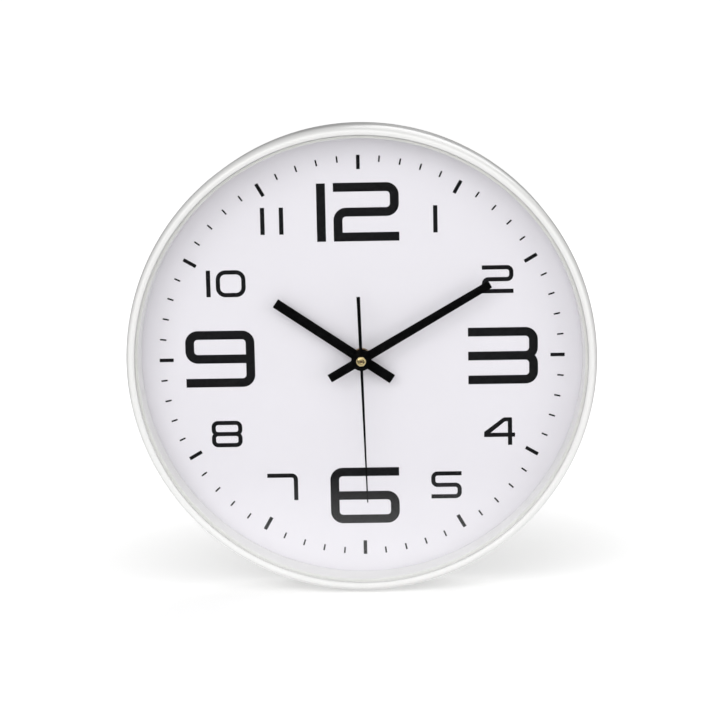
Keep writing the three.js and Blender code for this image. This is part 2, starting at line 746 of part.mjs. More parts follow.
function circuitBoard() {
  const outline = [
    [BOARD.left, BOARD.bottom],
    [BOARD.stepX, BOARD.bottom],
    [BOARD.stepX, BOARD.step],
    [BOARD.right, BOARD.step],
    [BOARD.right, BOARD.top],
    [BOARD.left, BOARD.top],
  ].map(([x, y]) => new THREE.Vector2(x, y));
  return layerPrism(outline, LAYER.board);
}

function chipBlob() {
  const top = behind(LAYER.board[1] + SMALL_GAP);
  return turned([[0, top - 1.2], [1.8, top - 1], [2.9, top - 0.5], [3.2, top], [0, top]], 20);
}

function quartzCan() {
  return turned([[0, 0], [1, 0], [1, 5.6], [0.8, 6], [0, 6]], COARSE)
    .rotateY(Math.PI / 2)
    .translate(0, 0, behind(LAYER.board[1] + SMALL_GAP + 1));
}

add('stator', stator(), silicon);
add('coil_core', alongCoil(rectangle(-1.4, -0.6, 1.4, 0.6), POLE.bottom, POLE.top), silicon);
add('coil_bobbin', coilBobbin(), bobbinPlastic);
add(
  'coil_winding',
  alongCoil(circle(3, MEDIUM), COIL.bottom + 1, COIL.top - 1, [rectangle(-2.15, -1.35, 2.15, 1.35)]),
  copper,
);
add('circuit_board', circuitBoard(), boardLaminate);
add('ic_chip', chipBlob(), epoxy, [-6, 19.6, 0]);
add('quartz_crystal', quartzCan(), zincSteel, [-20, 20, 0]);

// Enamelled wires from the coil's upper flange to the back of the circuit board.
const LEADS = [
  [[19.4, 16, 11.3], [19.2, 18.5, 11], [18.6, 21.4, 10.5]],
  [[24.6, 16, 11.3], [24.2, 18.5, 11], [21.6, 21.4, 10.5]],
];

function coilLead(route) {
  const points = route.map(([x, y, depth]) => new THREE.Vector3(x, y, behind(depth)));
  const path = new THREE.CatmullRomCurve3(points);
  const section = new THREE.Shape(circle(0.2, 6));
  return new THREE.ExtrudeGeometry(section, { steps: 6, extrudePath: path, bevelEnabled: false });
}

LEADS.forEach((route, i) => add(`coil_lead_${i + 1}`, coilLead(route), copper));

// ---------------------------------------------------------------------------------------------
// Cell and its two contacts. The cell lies across the bay with its button to the right.

const CELL = { radius: 7.1, rear: -24.5, shoulder: 24.3, tip: 25.5, y: -18.9, depth: 8.5 };
const CONTACT_FACE = INSIDE - 0.2;
const CONTACT_THICKNESS = 0.4;

function aaCell() {
  const { radius, rear, shoulder, tip } = CELL;
  const profile = [
    [0, rear],
    [radius - 0.5, rear],
    [radius, rear + 0.5],
    [radius, shoulder - 0.5],
    [radius - 0.5, shoulder],
    [2.75, shoulder],
    [2.75, tip - 0.2],
    [2.5, tip],
    [0, tip],
  ];
  return turned(profile, MEDIUM).rotateY(Math.PI / 2).translate(0, CELL.y, behind(CELL.depth));
}

// A sprung plate at one end of the bay, with a strip that runs up the wall to the circuit board.
function contactPlate(side) {
  const outside = side * CONTACT_FACE;
  const inside = side * (CONTACT_FACE - CONTACT_THICKNESS);
  const [left, right] = [outside, inside].sort((a, b) => a - b);
  const [tabLeft, tabRight] = [outside, side * 23].sort((a, b) => a - b);
  const padDepth = LAYER.board[1] + SMALL_GAP;
  return join(
    box(left, right, CELL.y - 5, CELL.y + 5, behind(13), behind(4)),
    box(left, right, CELL.y + 4, 23.4, behind(11.6), behind(8.6)),
    box(tabLeft, tabRight, 21.4, 23.4, behind(padDepth + CONTACT_THICKNESS), behind(padDepth)),
  );
}

// A conical spring: a wire wound round the cell's axis, wide at the plate and narrow at the cell.
function coneSpring() {
  const turns = 2;
  const stepsPerTurn = 14;
  const wire = 0.25;
  const base = -CONTACT_FACE + CONTACT_THICKNESS + wire - 0.1;
  const points = Array.from({ length: turns * stepsPerTurn + 1 }, (_, i) => {
    const share = i / (turns * stepsPerTurn);
    const radius = THREE.MathUtils.lerp(4, 2, share);
    const angle = share * turns * turn;
    const x = THREE.MathUtils.lerp(base, CELL.rear - wire - SMALL_GAP, share);
    return new THREE.Vector3(x, CELL.y + radius * Math.cos(angle), behind(CELL.depth) + radius * Math.sin(angle));
  });
  const path = new THREE.CatmullRomCurve3(points);
  const section = new THREE.Shape(circle(wire, 6));
  return new THREE.ExtrudeGeometry(section, { steps: turns * stepsPerTurn, extrudePath: path, bevelEnabled: false });
}

add('aa_cell', aaCell(), cellSleeve);
add('contact_positive', contactPlate(1), springSteel);
add('contact_negative', join(contactPlate(-1), coneSpring()), springSteel);

// ---------------------------------------------------------------------------------------------
// Hands. Each is a flat stamping on a brass bush that presses onto its pipe or arbor.

const HAND = {
  hour: {
    length: 65.6, tail: 23.7, hubWidth: 6.3, tipWidth: 6.3, tailWidth: 6.3,
    hub: 6.4, bore: 3.2, low: 6, high: 6.5,
  },
  minute: {
    length: 95.3, tail: 23.6, hubWidth: 5.75, tipWidth: 5, tailWidth: 5.5,
    hub: 6.2, bore: 2.3, low: 9.6, high: 10.1,
  },
  second: {
    length: 92.5, tail: 41.3, hubWidth: 1.9, tipWidth: 0.8, tailWidth: 2.3,
    hub: 6.4, bore: 1.25, low: 13.2, high: 13.5,
  },
};

// Turns a piece that points at 12 to a clock angle in degrees.
const clockAngle = (degrees) => -radians(degrees);

function barHand({ length, tail, hubWidth, tipWidth, tailWidth, hub, bore, low, high }) {
  const bar = [
    [-tipWidth / 2, length],
    [-hubWidth / 2, 0],
    [-tailWidth / 2, -tail],
    [tailWidth / 2, -tail],
    [hubWidth / 2, 0],
    [tipWidth / 2, length],
  ].map(([x, y]) => new THREE.Vector2(x, y));
  return cut(
    join(prism(bar, low, high), prism(circle(hub), low, high)),
    prism(circle(bore), low - 1, high + 1),
  );
}

// A bush with a flange under the hand and a neck through it.
function handBush(inner, neck, flange, low, handLow, top) {
  return turned([
    [inner, low],
    [flange, low],
    [flange, handLow - SMALL_GAP],
    [neck, handLow - SMALL_GAP],
    [neck, top],
    [inner, top],
    [inner, low],
  ]);
}

const CAP = { radius: 3.2, low: 13.6, top: 16.9, dimple: 0.8 };

function secondCap() {
  const tube = 1.1;
  const bottom = 11.4;
  const socket = SECONDS_ARBOR_RADIUS + 0.12;
  const dome = 1.5;
  return turned([
    [0, SECONDS_ARBOR_TOP + 0.3],
    [socket, SECONDS_ARBOR_TOP + 0.3],
    [socket, bottom],
    [tube, bottom],
    [tube, CAP.low],
    [CAP.radius, CAP.low],
    ...ellipseArc(CAP.dimple, CAP.top - dome, CAP.radius - CAP.dimple, dome, 0, 90, 4),
    [0, CAP.top - 0.5],
  ]);
}

add('hour_hand', barHand(HAND.hour), handPaint, [0, 0, 0], clockAngle(REST_HOUR));
add('hour_hand_bush', handBush(HOUR_PIPE.outer + 0.1, 3.1, 4.2, 5, HAND.hour.low, 6.8), brass);
add('minute_hand', barHand(HAND.minute), handPaint, [0, 0, 0], clockAngle(REST_MINUTE));
add('minute_hand_bush', handBush(MINUTE_PIPE.outer + 0.1, 2.2, 3.2, 8.4, HAND.minute.low, 10.4), brass);
add('second_hand', barHand(HAND.second), handPaint, [0, 0, 0], clockAngle(REST_SECOND));
add('second_hand_cap', secondCap(), brass);

export default group;
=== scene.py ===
import math

import bmesh
import bpy
from mathutils import Matrix, Vector
from mathutils.geometry import tessellate_polygon


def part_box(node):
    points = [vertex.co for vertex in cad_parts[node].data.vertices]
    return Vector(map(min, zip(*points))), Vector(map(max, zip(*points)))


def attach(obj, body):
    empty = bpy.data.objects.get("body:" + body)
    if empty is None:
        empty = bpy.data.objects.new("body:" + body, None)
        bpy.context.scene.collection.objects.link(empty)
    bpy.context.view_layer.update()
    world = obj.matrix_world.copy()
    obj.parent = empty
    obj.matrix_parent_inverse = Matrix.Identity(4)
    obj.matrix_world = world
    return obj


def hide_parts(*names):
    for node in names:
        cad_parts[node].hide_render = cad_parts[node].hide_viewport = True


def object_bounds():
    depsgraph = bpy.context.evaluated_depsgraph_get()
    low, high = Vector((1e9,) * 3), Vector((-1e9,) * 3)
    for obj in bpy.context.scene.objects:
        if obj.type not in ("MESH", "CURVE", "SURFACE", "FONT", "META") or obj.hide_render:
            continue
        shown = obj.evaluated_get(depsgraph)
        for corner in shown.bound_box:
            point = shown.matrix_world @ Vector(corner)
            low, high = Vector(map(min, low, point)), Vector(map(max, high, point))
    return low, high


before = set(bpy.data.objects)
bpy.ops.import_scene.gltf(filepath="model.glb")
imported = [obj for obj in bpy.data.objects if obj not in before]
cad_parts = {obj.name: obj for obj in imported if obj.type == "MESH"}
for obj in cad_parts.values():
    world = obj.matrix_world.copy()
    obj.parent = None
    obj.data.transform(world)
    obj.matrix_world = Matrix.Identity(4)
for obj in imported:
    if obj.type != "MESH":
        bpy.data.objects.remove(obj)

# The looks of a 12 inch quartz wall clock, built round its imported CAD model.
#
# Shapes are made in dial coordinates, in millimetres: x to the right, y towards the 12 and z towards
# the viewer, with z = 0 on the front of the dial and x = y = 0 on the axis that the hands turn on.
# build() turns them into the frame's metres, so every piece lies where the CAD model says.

CAD_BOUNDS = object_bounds()
TURN = 2 * math.pi
MM = 0.001
SHARP_EDGE = math.radians(32)      # smooth shading stops at edges that turn by more
SAME_PLACE = 0.5e-6                # metres; points closer than this are joined


# ---- Dial coordinates and the frame's own sizes

dial_low, dial_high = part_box("dial_plate")
HANDS_AXIS = Vector(((dial_low.x + dial_high.x) / 2, dial_low.y, (dial_low.z + dial_high.z) / 2))
TO_FRAME = Matrix.Translation(HANDS_AXIS) @ Matrix.Rotation(math.pi / 2, 4, "X") @ Matrix.Scale(MM, 4)
TO_DIAL = TO_FRAME.inverted()


def span(node):
    """Lowest and highest corner of a CAD node in dial coordinates."""
    corners = [TO_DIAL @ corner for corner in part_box(node)]
    return Vector(map(min, *corners)), Vector(map(max, *corners))


def heights(node):
    low, high = span(node)
    return low.z, high.z


def radius_of(node):
    low, high = span(node)
    return (high.x - low.x) / 2


def round_size(node):
    """Radius, low end and high end of a round node."""
    return radius_of(node), *heights(node)


def centre_of(node):
    low, high = span(node)
    return (low.x + high.x) / 2, (low.y + high.y) / 2


# ---- Shapes. A shape is a list of points and a list of faces, which index them anticlockwise.


def polar(radius, angle, centre=(0, 0)):
    return centre[0] + radius * math.cos(angle), centre[1] + radius * math.sin(angle)


def circle(radius, sides=96, centre=(0, 0)):
    return [polar(radius, TURN * i / sides, centre) for i in range(sides)]


def filleted(corners, arc_step=12):
    """A closed outline from (x, y) or (x, y, radius) corners, with arcs at those with a radius."""
    nearly_straight = math.radians(89.5)
    outline = []
    for i, (x, y, *radius) in enumerate(corners):
        corner = Vector((x, y))
        if not radius or radius[0] <= 0:
            outline.append((x, y))
            continue
        before = (Vector(corners[i - 1][:2]) - corner).normalized()
        after = (Vector(corners[(i + 1) % len(corners)][:2]) - corner).normalized()
        half = before.angle(after) / 2
        if half > nearly_straight:
            outline.append((x, y))
            continue
        centre = corner + (before + after).normalized() * (radius[0] / math.sin(half))
        start = corner + before * (radius[0] / math.tan(half)) - centre
        sweep = math.copysign(math.pi - 2 * half, start.y * before.x - start.x * before.y)
        steps = max(2, math.ceil(math.degrees(abs(sweep)) / arc_step))
        for k in range(steps + 1):
            c, s = polar(1, sweep * k / steps)
            outline.append((centre.x + start.x * c - start.y * s, centre.y + start.x * s + start.y * c))
    return outline


def rectangle(left, bottom, right, top, radius=0.0, arc_step=12):
    corners = ((left, bottom), (right, bottom), (right, top), (left, top))
    return filleted([(x, y, radius) for x, y in corners], arc_step)


def square(half, radius):
    return rectangle(-half, -half, half, half, radius)


def inset(outline, distance):
    """The outline moved inwards by a distance. It runs anticlockwise."""
    moved = []
    for i, (x, y) in enumerate(outline):
        before = (Vector((x, y)) - Vector(outline[i - 1])).normalized()
        after = (Vector(outline[(i + 1) % len(outline)]) - Vector((x, y))).normalized()
        sideways = Vector((-before.y - after.y, before.x + after.x))
        shift = sideways * (distance / max(0.3, 1 + before.dot(after)))
        moved.append((x + shift.x, y + shift.y))
    return moved


def cap(loops, up):
    """Triangles that fill an outline with holes. They index the points of its loops in a row."""
    flat = [[Vector((x, y, 0)) for x, y in loop] for loop in loops]
    points = [point for loop in flat for point in loop]
    faces = []
    for a, b, c in tessellate_polygon(flat):
        area = (points[b] - points[a]).cross(points[c] - points[a]).z
        if abs(area) > 1e-9:
            faces.append((a, b, c) if (area > 0) == up else (a, c, b))
    return faces


def prism(outline, low, high, holes=(), edge=0.0):
    """An upright piece with an anticlockwise outline, anticlockwise holes and rounded edges."""
    edge_steps = 2
    levels = [(low, 0.0), (high, 0.0)]
    if edge > 0:
        angles = [math.pi / 2 * k / edge_steps for k in range(edge_steps + 1)]
        rise = [(edge * (1 - math.cos(a)), edge * (1 - math.sin(a))) for a in angles]
        levels = [(low + up, inward) for up, inward in rise]
        levels += [(high - up, inward) for up, inward in reversed(rise)]
    points = []
    faces = []
    loops_at = []
    for height, inward in levels:
        loops = [inset(outline, inward)] + [inset(hole, -inward) for hole in holes]
        starts = []
        for loop in loops:
            starts.append(len(points))
            points += [Vector((x, y, height)) for x, y in loop]
        loops_at.append((loops, starts))
    for (loops, lower), (_, upper) in zip(loops_at, loops_at[1:]):
        for k, loop in enumerate(loops):
            for i in range(len(loop)):
                j = (i + 1) % len(loop)
                quad = (lower[k] + i, lower[k] + j, upper[k] + j, upper[k] + i)
                faces.append(quad if k == 0 else quad[::-1])
    for (loops, starts), up in ((loops_at[0], False), (loops_at[-1], True)):
        faces += [tuple(starts[0] + i for i in triangle) for triangle in cap(loops, up)]
    return points, faces


def block(left, right, bottom, top, low, high, radius=0.0, edge=0.0):
    return prism(rectangle(left, bottom, right, top, radius), low, high, edge=edge)


def lathe(profile, sides=96):
    """A turned piece about the z axis. Its (radius, height) profile runs anticlockwise, and closes
    on itself or starts and ends on the axis."""
    points = []
    rings = []
    for radius, height in profile:
        start = len(points)
        if radius < 1e-6:
            points.append(Vector((0, 0, height)))
        else:
            points += [Vector((*polar(radius, TURN * i / sides), height)) for i in range(sides)]
        rings.append(range(start, len(points)))
    faces = []
    for lower, upper in zip(rings, rings[1:] + rings[:1]):
        for i, j in zip(range(sides), [*range(1, sides), 0]):
            corners = ((lower, i), (lower, j), (upper, j), (upper, i))
            face = tuple(dict.fromkeys(loop[k % len(loop)] for loop, k in corners))
            if len(face) > 2:
                faces.append(face)
    return points, faces


def tube(path, radius, sides):
    """A round wire along a list of points, with flat ends."""
    path = [Vector(point) for point in path]
    points = []
    across = None
    for i, centre in enumerate(path):
        along = (path[min(i + 1, len(path) - 1)] - path[max(i - 1, 0)]).normalized()
        if across is None:
            across = along.orthogonal().normalized()
        across = (across - along * across.dot(along)).normalized()
        other = along.cross(across)
        for k in range(sides):
            c, s = polar(radius, TURN * k / sides)
            points.append(centre + across * c + other * s)
    faces = []
    for i in range(len(path) - 1):
        for k in range(sides):
            n = (k + 1) % sides
            faces.append((i * sides + k, i * sides + n, (i + 1) * sides + n, (i + 1) * sides + k))
    last = (len(path) - 1) * sides
    faces.append(tuple(range(sides))[::-1])
    faces.append(tuple(range(last, last + sides)))
    return points, faces


def merged(*shapes):
    points = []
    faces = []
    for shape_points, shape_faces in shapes:
        faces += [tuple(i + len(points) for i in face) for face in shape_faces]
        points += shape_points
    return points, faces


def moved(shape, x=0.0, y=0.0, z=0.0, angle=0.0):
    matrix = Matrix.Translation((x, y, z)) @ Matrix.Rotation(angle, 4, "Z")
    return [matrix @ point for point in shape[0]], shape[1]


def turned_to_x(shape):
    """The shape with its z axis laid along x."""
    matrix = Matrix.Rotation(math.pi / 2, 4, "Y")
    return [matrix @ point for point in shape[0]], shape[1]


def linked(name, data):
    item = bpy.data.objects.new(name, data)
    bpy.context.scene.collection.objects.link(item)
    return item


def raw_object(name, shape):
    mesh = bpy.data.meshes.new(name)
    mesh.from_pydata([tuple(point) for point in shape[0]], [], shape[1])
    return linked(name, mesh)


def adding(*shapes):
    return [("UNION", shape) for shape in shapes]


def cutting(*shapes):
    return [("DIFFERENCE", shape) for shape in shapes]


def carved(base, *changes):
    """The base after its changes, each (operation, shape)."""
    target = raw_object("base", base)
    tools = []
    for operation, shape in changes:
        tool = raw_object("tool", shape)
        modifier = target.modifiers.new("change", "BOOLEAN")
        modifier.operation = operation
        modifier.solver = "EXACT"
        modifier.object = tool
        tools.append(tool)
    result = target.evaluated_get(bpy.context.evaluated_depsgraph_get())
    mesh = result.to_mesh()
    shape = [v.co.copy() for v in mesh.vertices], [tuple(p.vertices) for p in mesh.polygons]
    result.to_mesh_clear()
    for item in [target, *tools]:
        mesh = item.data
        bpy.data.objects.remove(item)
        bpy.data.meshes.remove(mesh)
    return shape


def united(shapes):
    return carved(shapes[0], *adding(*shapes[1:]))


def build(name, shape, material, body, replaces):
    """A piece of the clock from a shape in dial coordinates. It stands for some CAD nodes or none."""
    item = raw_object(name, shape)
    item.data.transform(TO_FRAME)
    mesh = bmesh.new()
    mesh.from_mesh(item.data)
    bmesh.ops.remove_doubles(mesh, verts=mesh.verts, dist=SAME_PLACE)
    mesh.to_mesh(item.data)
    mesh.free()
    item.data.shade_smooth()
    item.data.set_sharp_from_angle(angle=SHARP_EDGE)
    flat_faces = item.modifiers.new("flat_faces_stay_flat", "WEIGHTED_NORMAL")
    flat_faces.keep_sharp = True
    item.data.materials.append(material)
    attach(item, body)
    if replaces:
        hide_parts(*replaces)


# ---- Materials. Each is a Principled shader with procedural colour, roughness and relief.


class Nodes:
    """The shader nodes of a material or a world, while they are made and joined."""

    def __init__(self, owner):
        owner.use_nodes = True
        self.nodes = owner.node_tree.nodes
        self.links = owner.node_tree.links

    def node(self, kind, inputs=None, **settings):
        made = self.nodes.new(kind)
        for setting, value in settings.items():
            setattr(made, setting, value)
        for socket, value in (inputs or {}).items():
            if isinstance(value, bpy.types.NodeSocket):
                self.links.new(value, made.inputs[socket])
            else:
                made.inputs[socket].default_value = value
        return made

    def math(self, operation, a, b=0.0):
        return self.node("ShaderNodeMath", {0: a, 1: b}, operation=operation).outputs["Value"]

    def mapped(self, value, start, end, low, high, smooth=False):
        """A number that goes from low to high as the value goes from start to end."""
        inputs = {"Value": value, "From Min": start, "From Max": end, "To Min": low, "To Max": high}
        kind = "SMOOTHSTEP" if smooth else "LINEAR"
        return self.node("ShaderNodeMapRange", inputs, interpolation_type=kind).outputs["Result"]

    def part(self, vector, axis):
        return self.node("ShaderNodeSeparateXYZ", {"Vector": vector}).outputs[axis]

    def ray(self, kind):
        """1 for rays of a kind and 0 for the others."""
        return self.node("ShaderNodeLightPath").outputs[f"Is {kind} Ray"]


class Look(Nodes):
    """A material under construction. Constants are set on the shader's own sockets."""

    def __init__(self, name, **sockets):
        self.material = bpy.data.materials.new(name)
        super().__init__(self.material)
        self.shader = self.nodes["Principled BSDF"]
        for socket, value in sockets.items():
            self.shader.inputs[socket.replace("_", " ")].default_value = value
        self.place = self.node("ShaderNodeTexCoord").outputs["Object"]

    def noise(self, size_mm, detail=3.0, stretch=(1, 1, 1)):
        """Noise whose features are about size_mm across, as a number from 0 to 1."""
        place = self.node("ShaderNodeMapping", {"Vector": self.place, "Scale": stretch})
        inputs = {"Vector": place.outputs["Vector"], "Scale": 1 / (size_mm * MM), "Detail": detail}
        return self.node("ShaderNodeTexNoise", inputs).outputs["Fac"]

    def ramp(self, value, stops):
        """Colours from a number, as (position, colour) stops."""
        ramp = self.node("ShaderNodeValToRGB", {"Fac": value})
        elements = ramp.color_ramp.elements
        for (position, color), element in zip(stops, [elements[0], elements[1]]):
            element.position = position
            element.color = (*color, 1)
        for position, color in stops[2:]:
            elements.new(position).color = (*color, 1)
        return ramp.outputs["Color"]

    def tint(self, value, stops):
        self.links.new(self.ramp(value, stops), self.shader.inputs["Base Color"])

    def roughness(self, value, low, high):
        self.links.new(self.mapped(value, 0, 1, low, high), self.shader.inputs["Roughness"])

    def relief(self, value, depth_mm, strength=1.0):
        """Bumps of a depth, laid over the relief that is already there."""
        normal = self.shader.inputs["Normal"]
        inputs = {"Height": value, "Strength": strength, "Distance": depth_mm * MM}
        bump = self.node("ShaderNodeBump", inputs)
        if normal.is_linked:
            self.links.new(normal.links[0].from_socket, bump.inputs["Normal"])
        self.links.new(bump.outputs["Normal"], normal)

    def blend(self, share, first, second):
        """Makes the surface go from one shader to another as the share goes from 0 to 1."""
        inputs = {0: share, 1: first.outputs[0], 2: second.outputs[0]}
        blend = self.node("ShaderNodeMixShader", inputs)
        self.links.new(blend.outputs[0], self.nodes["Material Output"].inputs["Surface"])


def tones(color, variation, start, end):
    """Colour stops from a little darker than a colour to a little paler."""
    pairs = ((start, 1 - variation), (end, 1 + variation))
    return [(position, [min(1.0, channel * factor) for channel in color]) for position, factor in pairs]


def surface(name, tone, stops, gloss, *bumps, **sockets):
    """A material made of noises: a tone of (size, detail) that picks a colour between the stops, a
    gloss of (size, detail, low, high) and bumps of (size, detail, depth, strength), in mm."""
    look = Look(name, **sockets)
    look.tint(look.noise(*tone), stops)
    look.roughness(look.noise(*gloss[:2]), *gloss[2:])
    for size, detail, *bump in bumps:
        look.relief(look.noise(size, detail), *bump)
    return look.material


def moulded(name, color, roughness, grain, depth, variation=0.03):
    """Moulded plastic: a fine grain, slow changes of tone and a slightly uneven gloss."""
    gloss = (9, 5, roughness * 0.85, roughness * 1.18)
    waves = (14, 1, 0.02, 0.35)
    return surface(name, (45, 4), tones(color, variation, 0.3, 0.7), gloss, waves, (grain, 2, depth))


def metal(name, color, roughness, scratch=0.35, depth=0.002, variation=0.08, brushed=(1, 1, 1)):
    """Metal with fine tool marks, drawn out along the directions that brushed shrinks."""
    look = Look(name, Metallic=1.0)
    look.tint(look.noise(6, 4), tones(color, variation, 0.25, 0.75))
    marks = look.noise(scratch, 4, brushed)
    look.roughness(marks, roughness * 0.85, roughness * 1.25)
    look.relief(marks, depth)
    return look.material


def clear_glass():
    """Float glass. Lamps and scattered light pass straight through the flat pane."""
    look = Look("clear_glass", Transmission_Weight=1.0, IOR=1.5, Roughness=0.0)
    look.tint(look.noise(38, 4), [(0.3, (0.978, 0.98, 0.982)), (0.7, (0.988, 0.99, 0.992))])
    passing = look.math("MAXIMUM", look.ray("Shadow"), look.ray("Diffuse"))
    clear = look.node("ShaderNodeBsdfTransparent", {"Color": (0.985, 0.986, 0.988, 1)})
    look.blend(passing, look.shader, clear)
    return look.material


def dial_sheet():
    """Satin coated sheet with the faintest mottle of the printed white."""
    look = Look("dial_sheet", Specular_IOR_Level=0.4)
    fine = look.mapped(look.noise(0.8), 0, 1, 0.42, 0.58)
    cloud = look.mapped(look.noise(60), 0, 1, -0.12, 0.12)
    stops = [(0.3, (0.815, 0.795, 0.835)), (0.7, (0.835, 0.815, 0.855))]
    look.tint(look.math("ADD", fine, cloud), stops)
    look.roughness(look.noise(3, 4), 0.45, 0.56)
    look.relief(look.noise(0.35, 2), 0.0007)
    return look.material


def cell_sleeve_print():
    """A shrunk sleeve printed slate blue, with a pale band at the button's end."""
    look = Look("cell_sleeve", Coat_Weight=0.4, Coat_Roughness=0.15)
    low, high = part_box("aa_cell")
    along = look.mapped(look.part(look.place, "X"), low.x, high.x, 0, 1)
    wobble = look.mapped(look.noise(2), 0, 1, -0.002, 0.002)
    slate, pale = (0.045, 0.075, 0.12), (0.5, 0.52, 0.54)
    bands = [(0.0, pale), (0.03, slate), (0.775, slate), (0.78, pale)]
    bands += [(0.79, pale), (0.795, slate), (0.83, slate), (0.835, pale)]
    look.tint(look.math("ADD", along, wobble), bands)
    look.roughness(look.noise(4, 5), 0.29, 0.4)
    look.relief(look.noise(5, 2), 0.02, 0.4)
    return look.material


def copper_winding():
    """Fine enamelled wire, seen as close rings along the coil."""
    wire = 0.12 * MM
    look = Look("copper", Metallic=1.0)
    rings = look.math("SINE", look.math("MULTIPLY", look.part(look.place, "Z"), TURN / wire))
    uneven = look.mapped(look.noise(1.5), 0, 1, -0.2, 0.2)
    tone = look.math("ADD", look.mapped(rings, 0, 1, 0.3, 0.7), uneven)
    look.tint(tone, [(0.2, (0.42, 0.13, 0.05)), (0.8, (0.72, 0.28, 0.12))])
    look.roughness(look.noise(0.8), 0.29, 0.4)
    look.relief(rings, 0.02)
    return look.material


def circuit_laminate():
    """Green solder mask with faint copper tracks under it."""
    look = Look("board", Coat_Weight=0.3, Coat_Roughness=0.2)
    inputs = {"Vector": look.place, "Scale": 260.0}
    cells = look.node("ShaderNodeTexVoronoi", inputs, distance="MANHATTAN").outputs["Distance"]
    tone = look.math("ADD", cells, look.mapped(look.noise(5), 0, 1, -0.15, 0.15))
    look.tint(tone, [(0.25, (0.02, 0.13, 0.045)), (0.5, (0.035, 0.2, 0.07))])
    look.roughness(look.noise(2, 4), 0.35, 0.5)
    look.relief(cells, 0.02, 0.4)
    return look.material


CASE_WHITE = tones((0.805, 0.803, 0.793), 0.015, 0.3, 0.7)
CASE = surface(
    "case_plastic", (70, 3), CASE_WHITE, (12, 5, 0.3, 0.38), (1.4, 1, 0.001),
    Coat_Weight=0.35, Coat_Roughness=0.06,
)
GLASS = clear_glass()
DIAL = dial_sheet()
INK_BLACK = [(0.3, (0.007, 0.007, 0.008)), (0.75, (0.011, 0.011, 0.012))]
INK = surface(
    "dial_ink", (2.2, 5), INK_BLACK, (0.7, 4, 0.34, 0.48), (0.3, 2, 0.002), Specular_IOR_Level=0.12
)
LACQUER_BLACK = [(0.3, (0.0014, 0.0014, 0.0016)), (0.7, (0.0026, 0.0026, 0.0028))]
HAND = surface(
    "hand_paint", (3, 4), LACQUER_BLACK, (0.6, 4, 0.5, 0.68), (0.22, 3, 0.004), Specular_IOR_Level=0.05
)

# Plastics: colour, roughness, size and depth of the grain in mm, variation of the tone
PLATE = moulded("plate_plastic", (0.79, 0.79, 0.765), 0.42, 0.7, 0.008)
RUBBER = moulded("rubber", (0.018, 0.018, 0.019), 0.8, 0.3, 0.01, 0.12)
FOAM = moulded("seal_foam", (0.75, 0.75, 0.72), 0.9, 0.25, 0.03)
HOUSING = moulded("housing_plastic", (0.016, 0.016, 0.0175), 0.42, 0.35, 0.012, 0.1)
KNOB = moulded("knob_plastic", (0.6, 0.6, 0.58), 0.4, 0.3, 0.005)
GEAR_WHITE = moulded("gear_plastic", (0.84, 0.84, 0.8), 0.36, 0.2, 0.003)
GEAR_NATURAL = moulded("gear_natural", (0.74, 0.7, 0.58), 0.36, 0.2, 0.003)
GEAR_BLUE = moulded("gear_plastic_blue", (0.2, 0.38, 0.6), 0.36, 0.2, 0.003)
BOBBIN = moulded("bobbin_plastic", (0.82, 0.76, 0.6), 0.4, 0.2, 0.004)
FERRITE = moulded("magnet", (0.05, 0.048, 0.05), 0.55, 0.15, 0.008, 0.15)
EPOXY = moulded("epoxy", (0.01, 0.01, 0.011), 0.35, 0.8, 0.01, 0.1)

# Metals: colour, roughness, size and depth of the scratches in mm, variation of the tone
BRASS = metal("turned_brass", (0.74, 0.6, 0.3), 0.2, 0.3)
DULL_BRASS = metal("dull_brass", (0.5, 0.37, 0.24), 0.36, 0.4, 0.003, 0.12)
# Painted shade: this dark brass stands for the shadow in the hollow of the second cap's dimple
PAINTED_SHADE_BRASS = metal("painted_shade_brass", (0.2, 0.12, 0.085), 0.45)
STEEL = metal("zinc_steel", (0.62, 0.64, 0.67), 0.35, 0.4, 0.003)
SPRING_STEEL = metal("spring_steel", (0.68, 0.69, 0.71), 0.2, 0.25)
CELL_STEEL = metal("cell_steel", (0.66, 0.66, 0.66), 0.2, 0.3)
CORE_STEEL = metal("stator_steel", (0.4, 0.41, 0.43), 0.35, 0.3, brushed=(1, 1, 0.2))

SLEEVE = cell_sleeve_print()
COPPER = copper_winding()
BOARD = circuit_laminate()


# ---- Case

SMOOTH_SIDES = 288                 # sides of the large round pieces
RIM_RADIUS = radius_of("case_frame")
REAR_Z, CREST_Z = heights("case_frame")
CREST_RADIUS = RIM_RADIUS - 3.6
WIDEST_Z = 10.4
LIP_RADIUS = 144.0
LEDGE_Z = 17.3
WALL_TOP_RADIUS = 141.9
WALL_FOOT_RADIUS = 141.5
WALL_OUTER_RADIUS = 143.8
CHANNEL_ROOF_Z = 15.5
SKIRT_INNER = (146.9, 147.7)       # at the rear edge and at the channel's roof
SKIRT_OUTER_REAR = RIM_RADIUS - 0.8

SCREW_CIRCLE = 144.5
SCREW_ANGLES = [math.radians(30 + 60 * i) for i in range(6)]


def rim_arc(centre, half_width, half_height, start, end, steps):
    """Part of an ellipse in a profile, between two angles in degrees."""
    angles = [math.radians(start + (end - start) * i / steps) for i in range(steps + 1)]
    x, y = centre
    return [(x + half_width * math.cos(a), y + half_height * math.sin(a)) for a in angles]


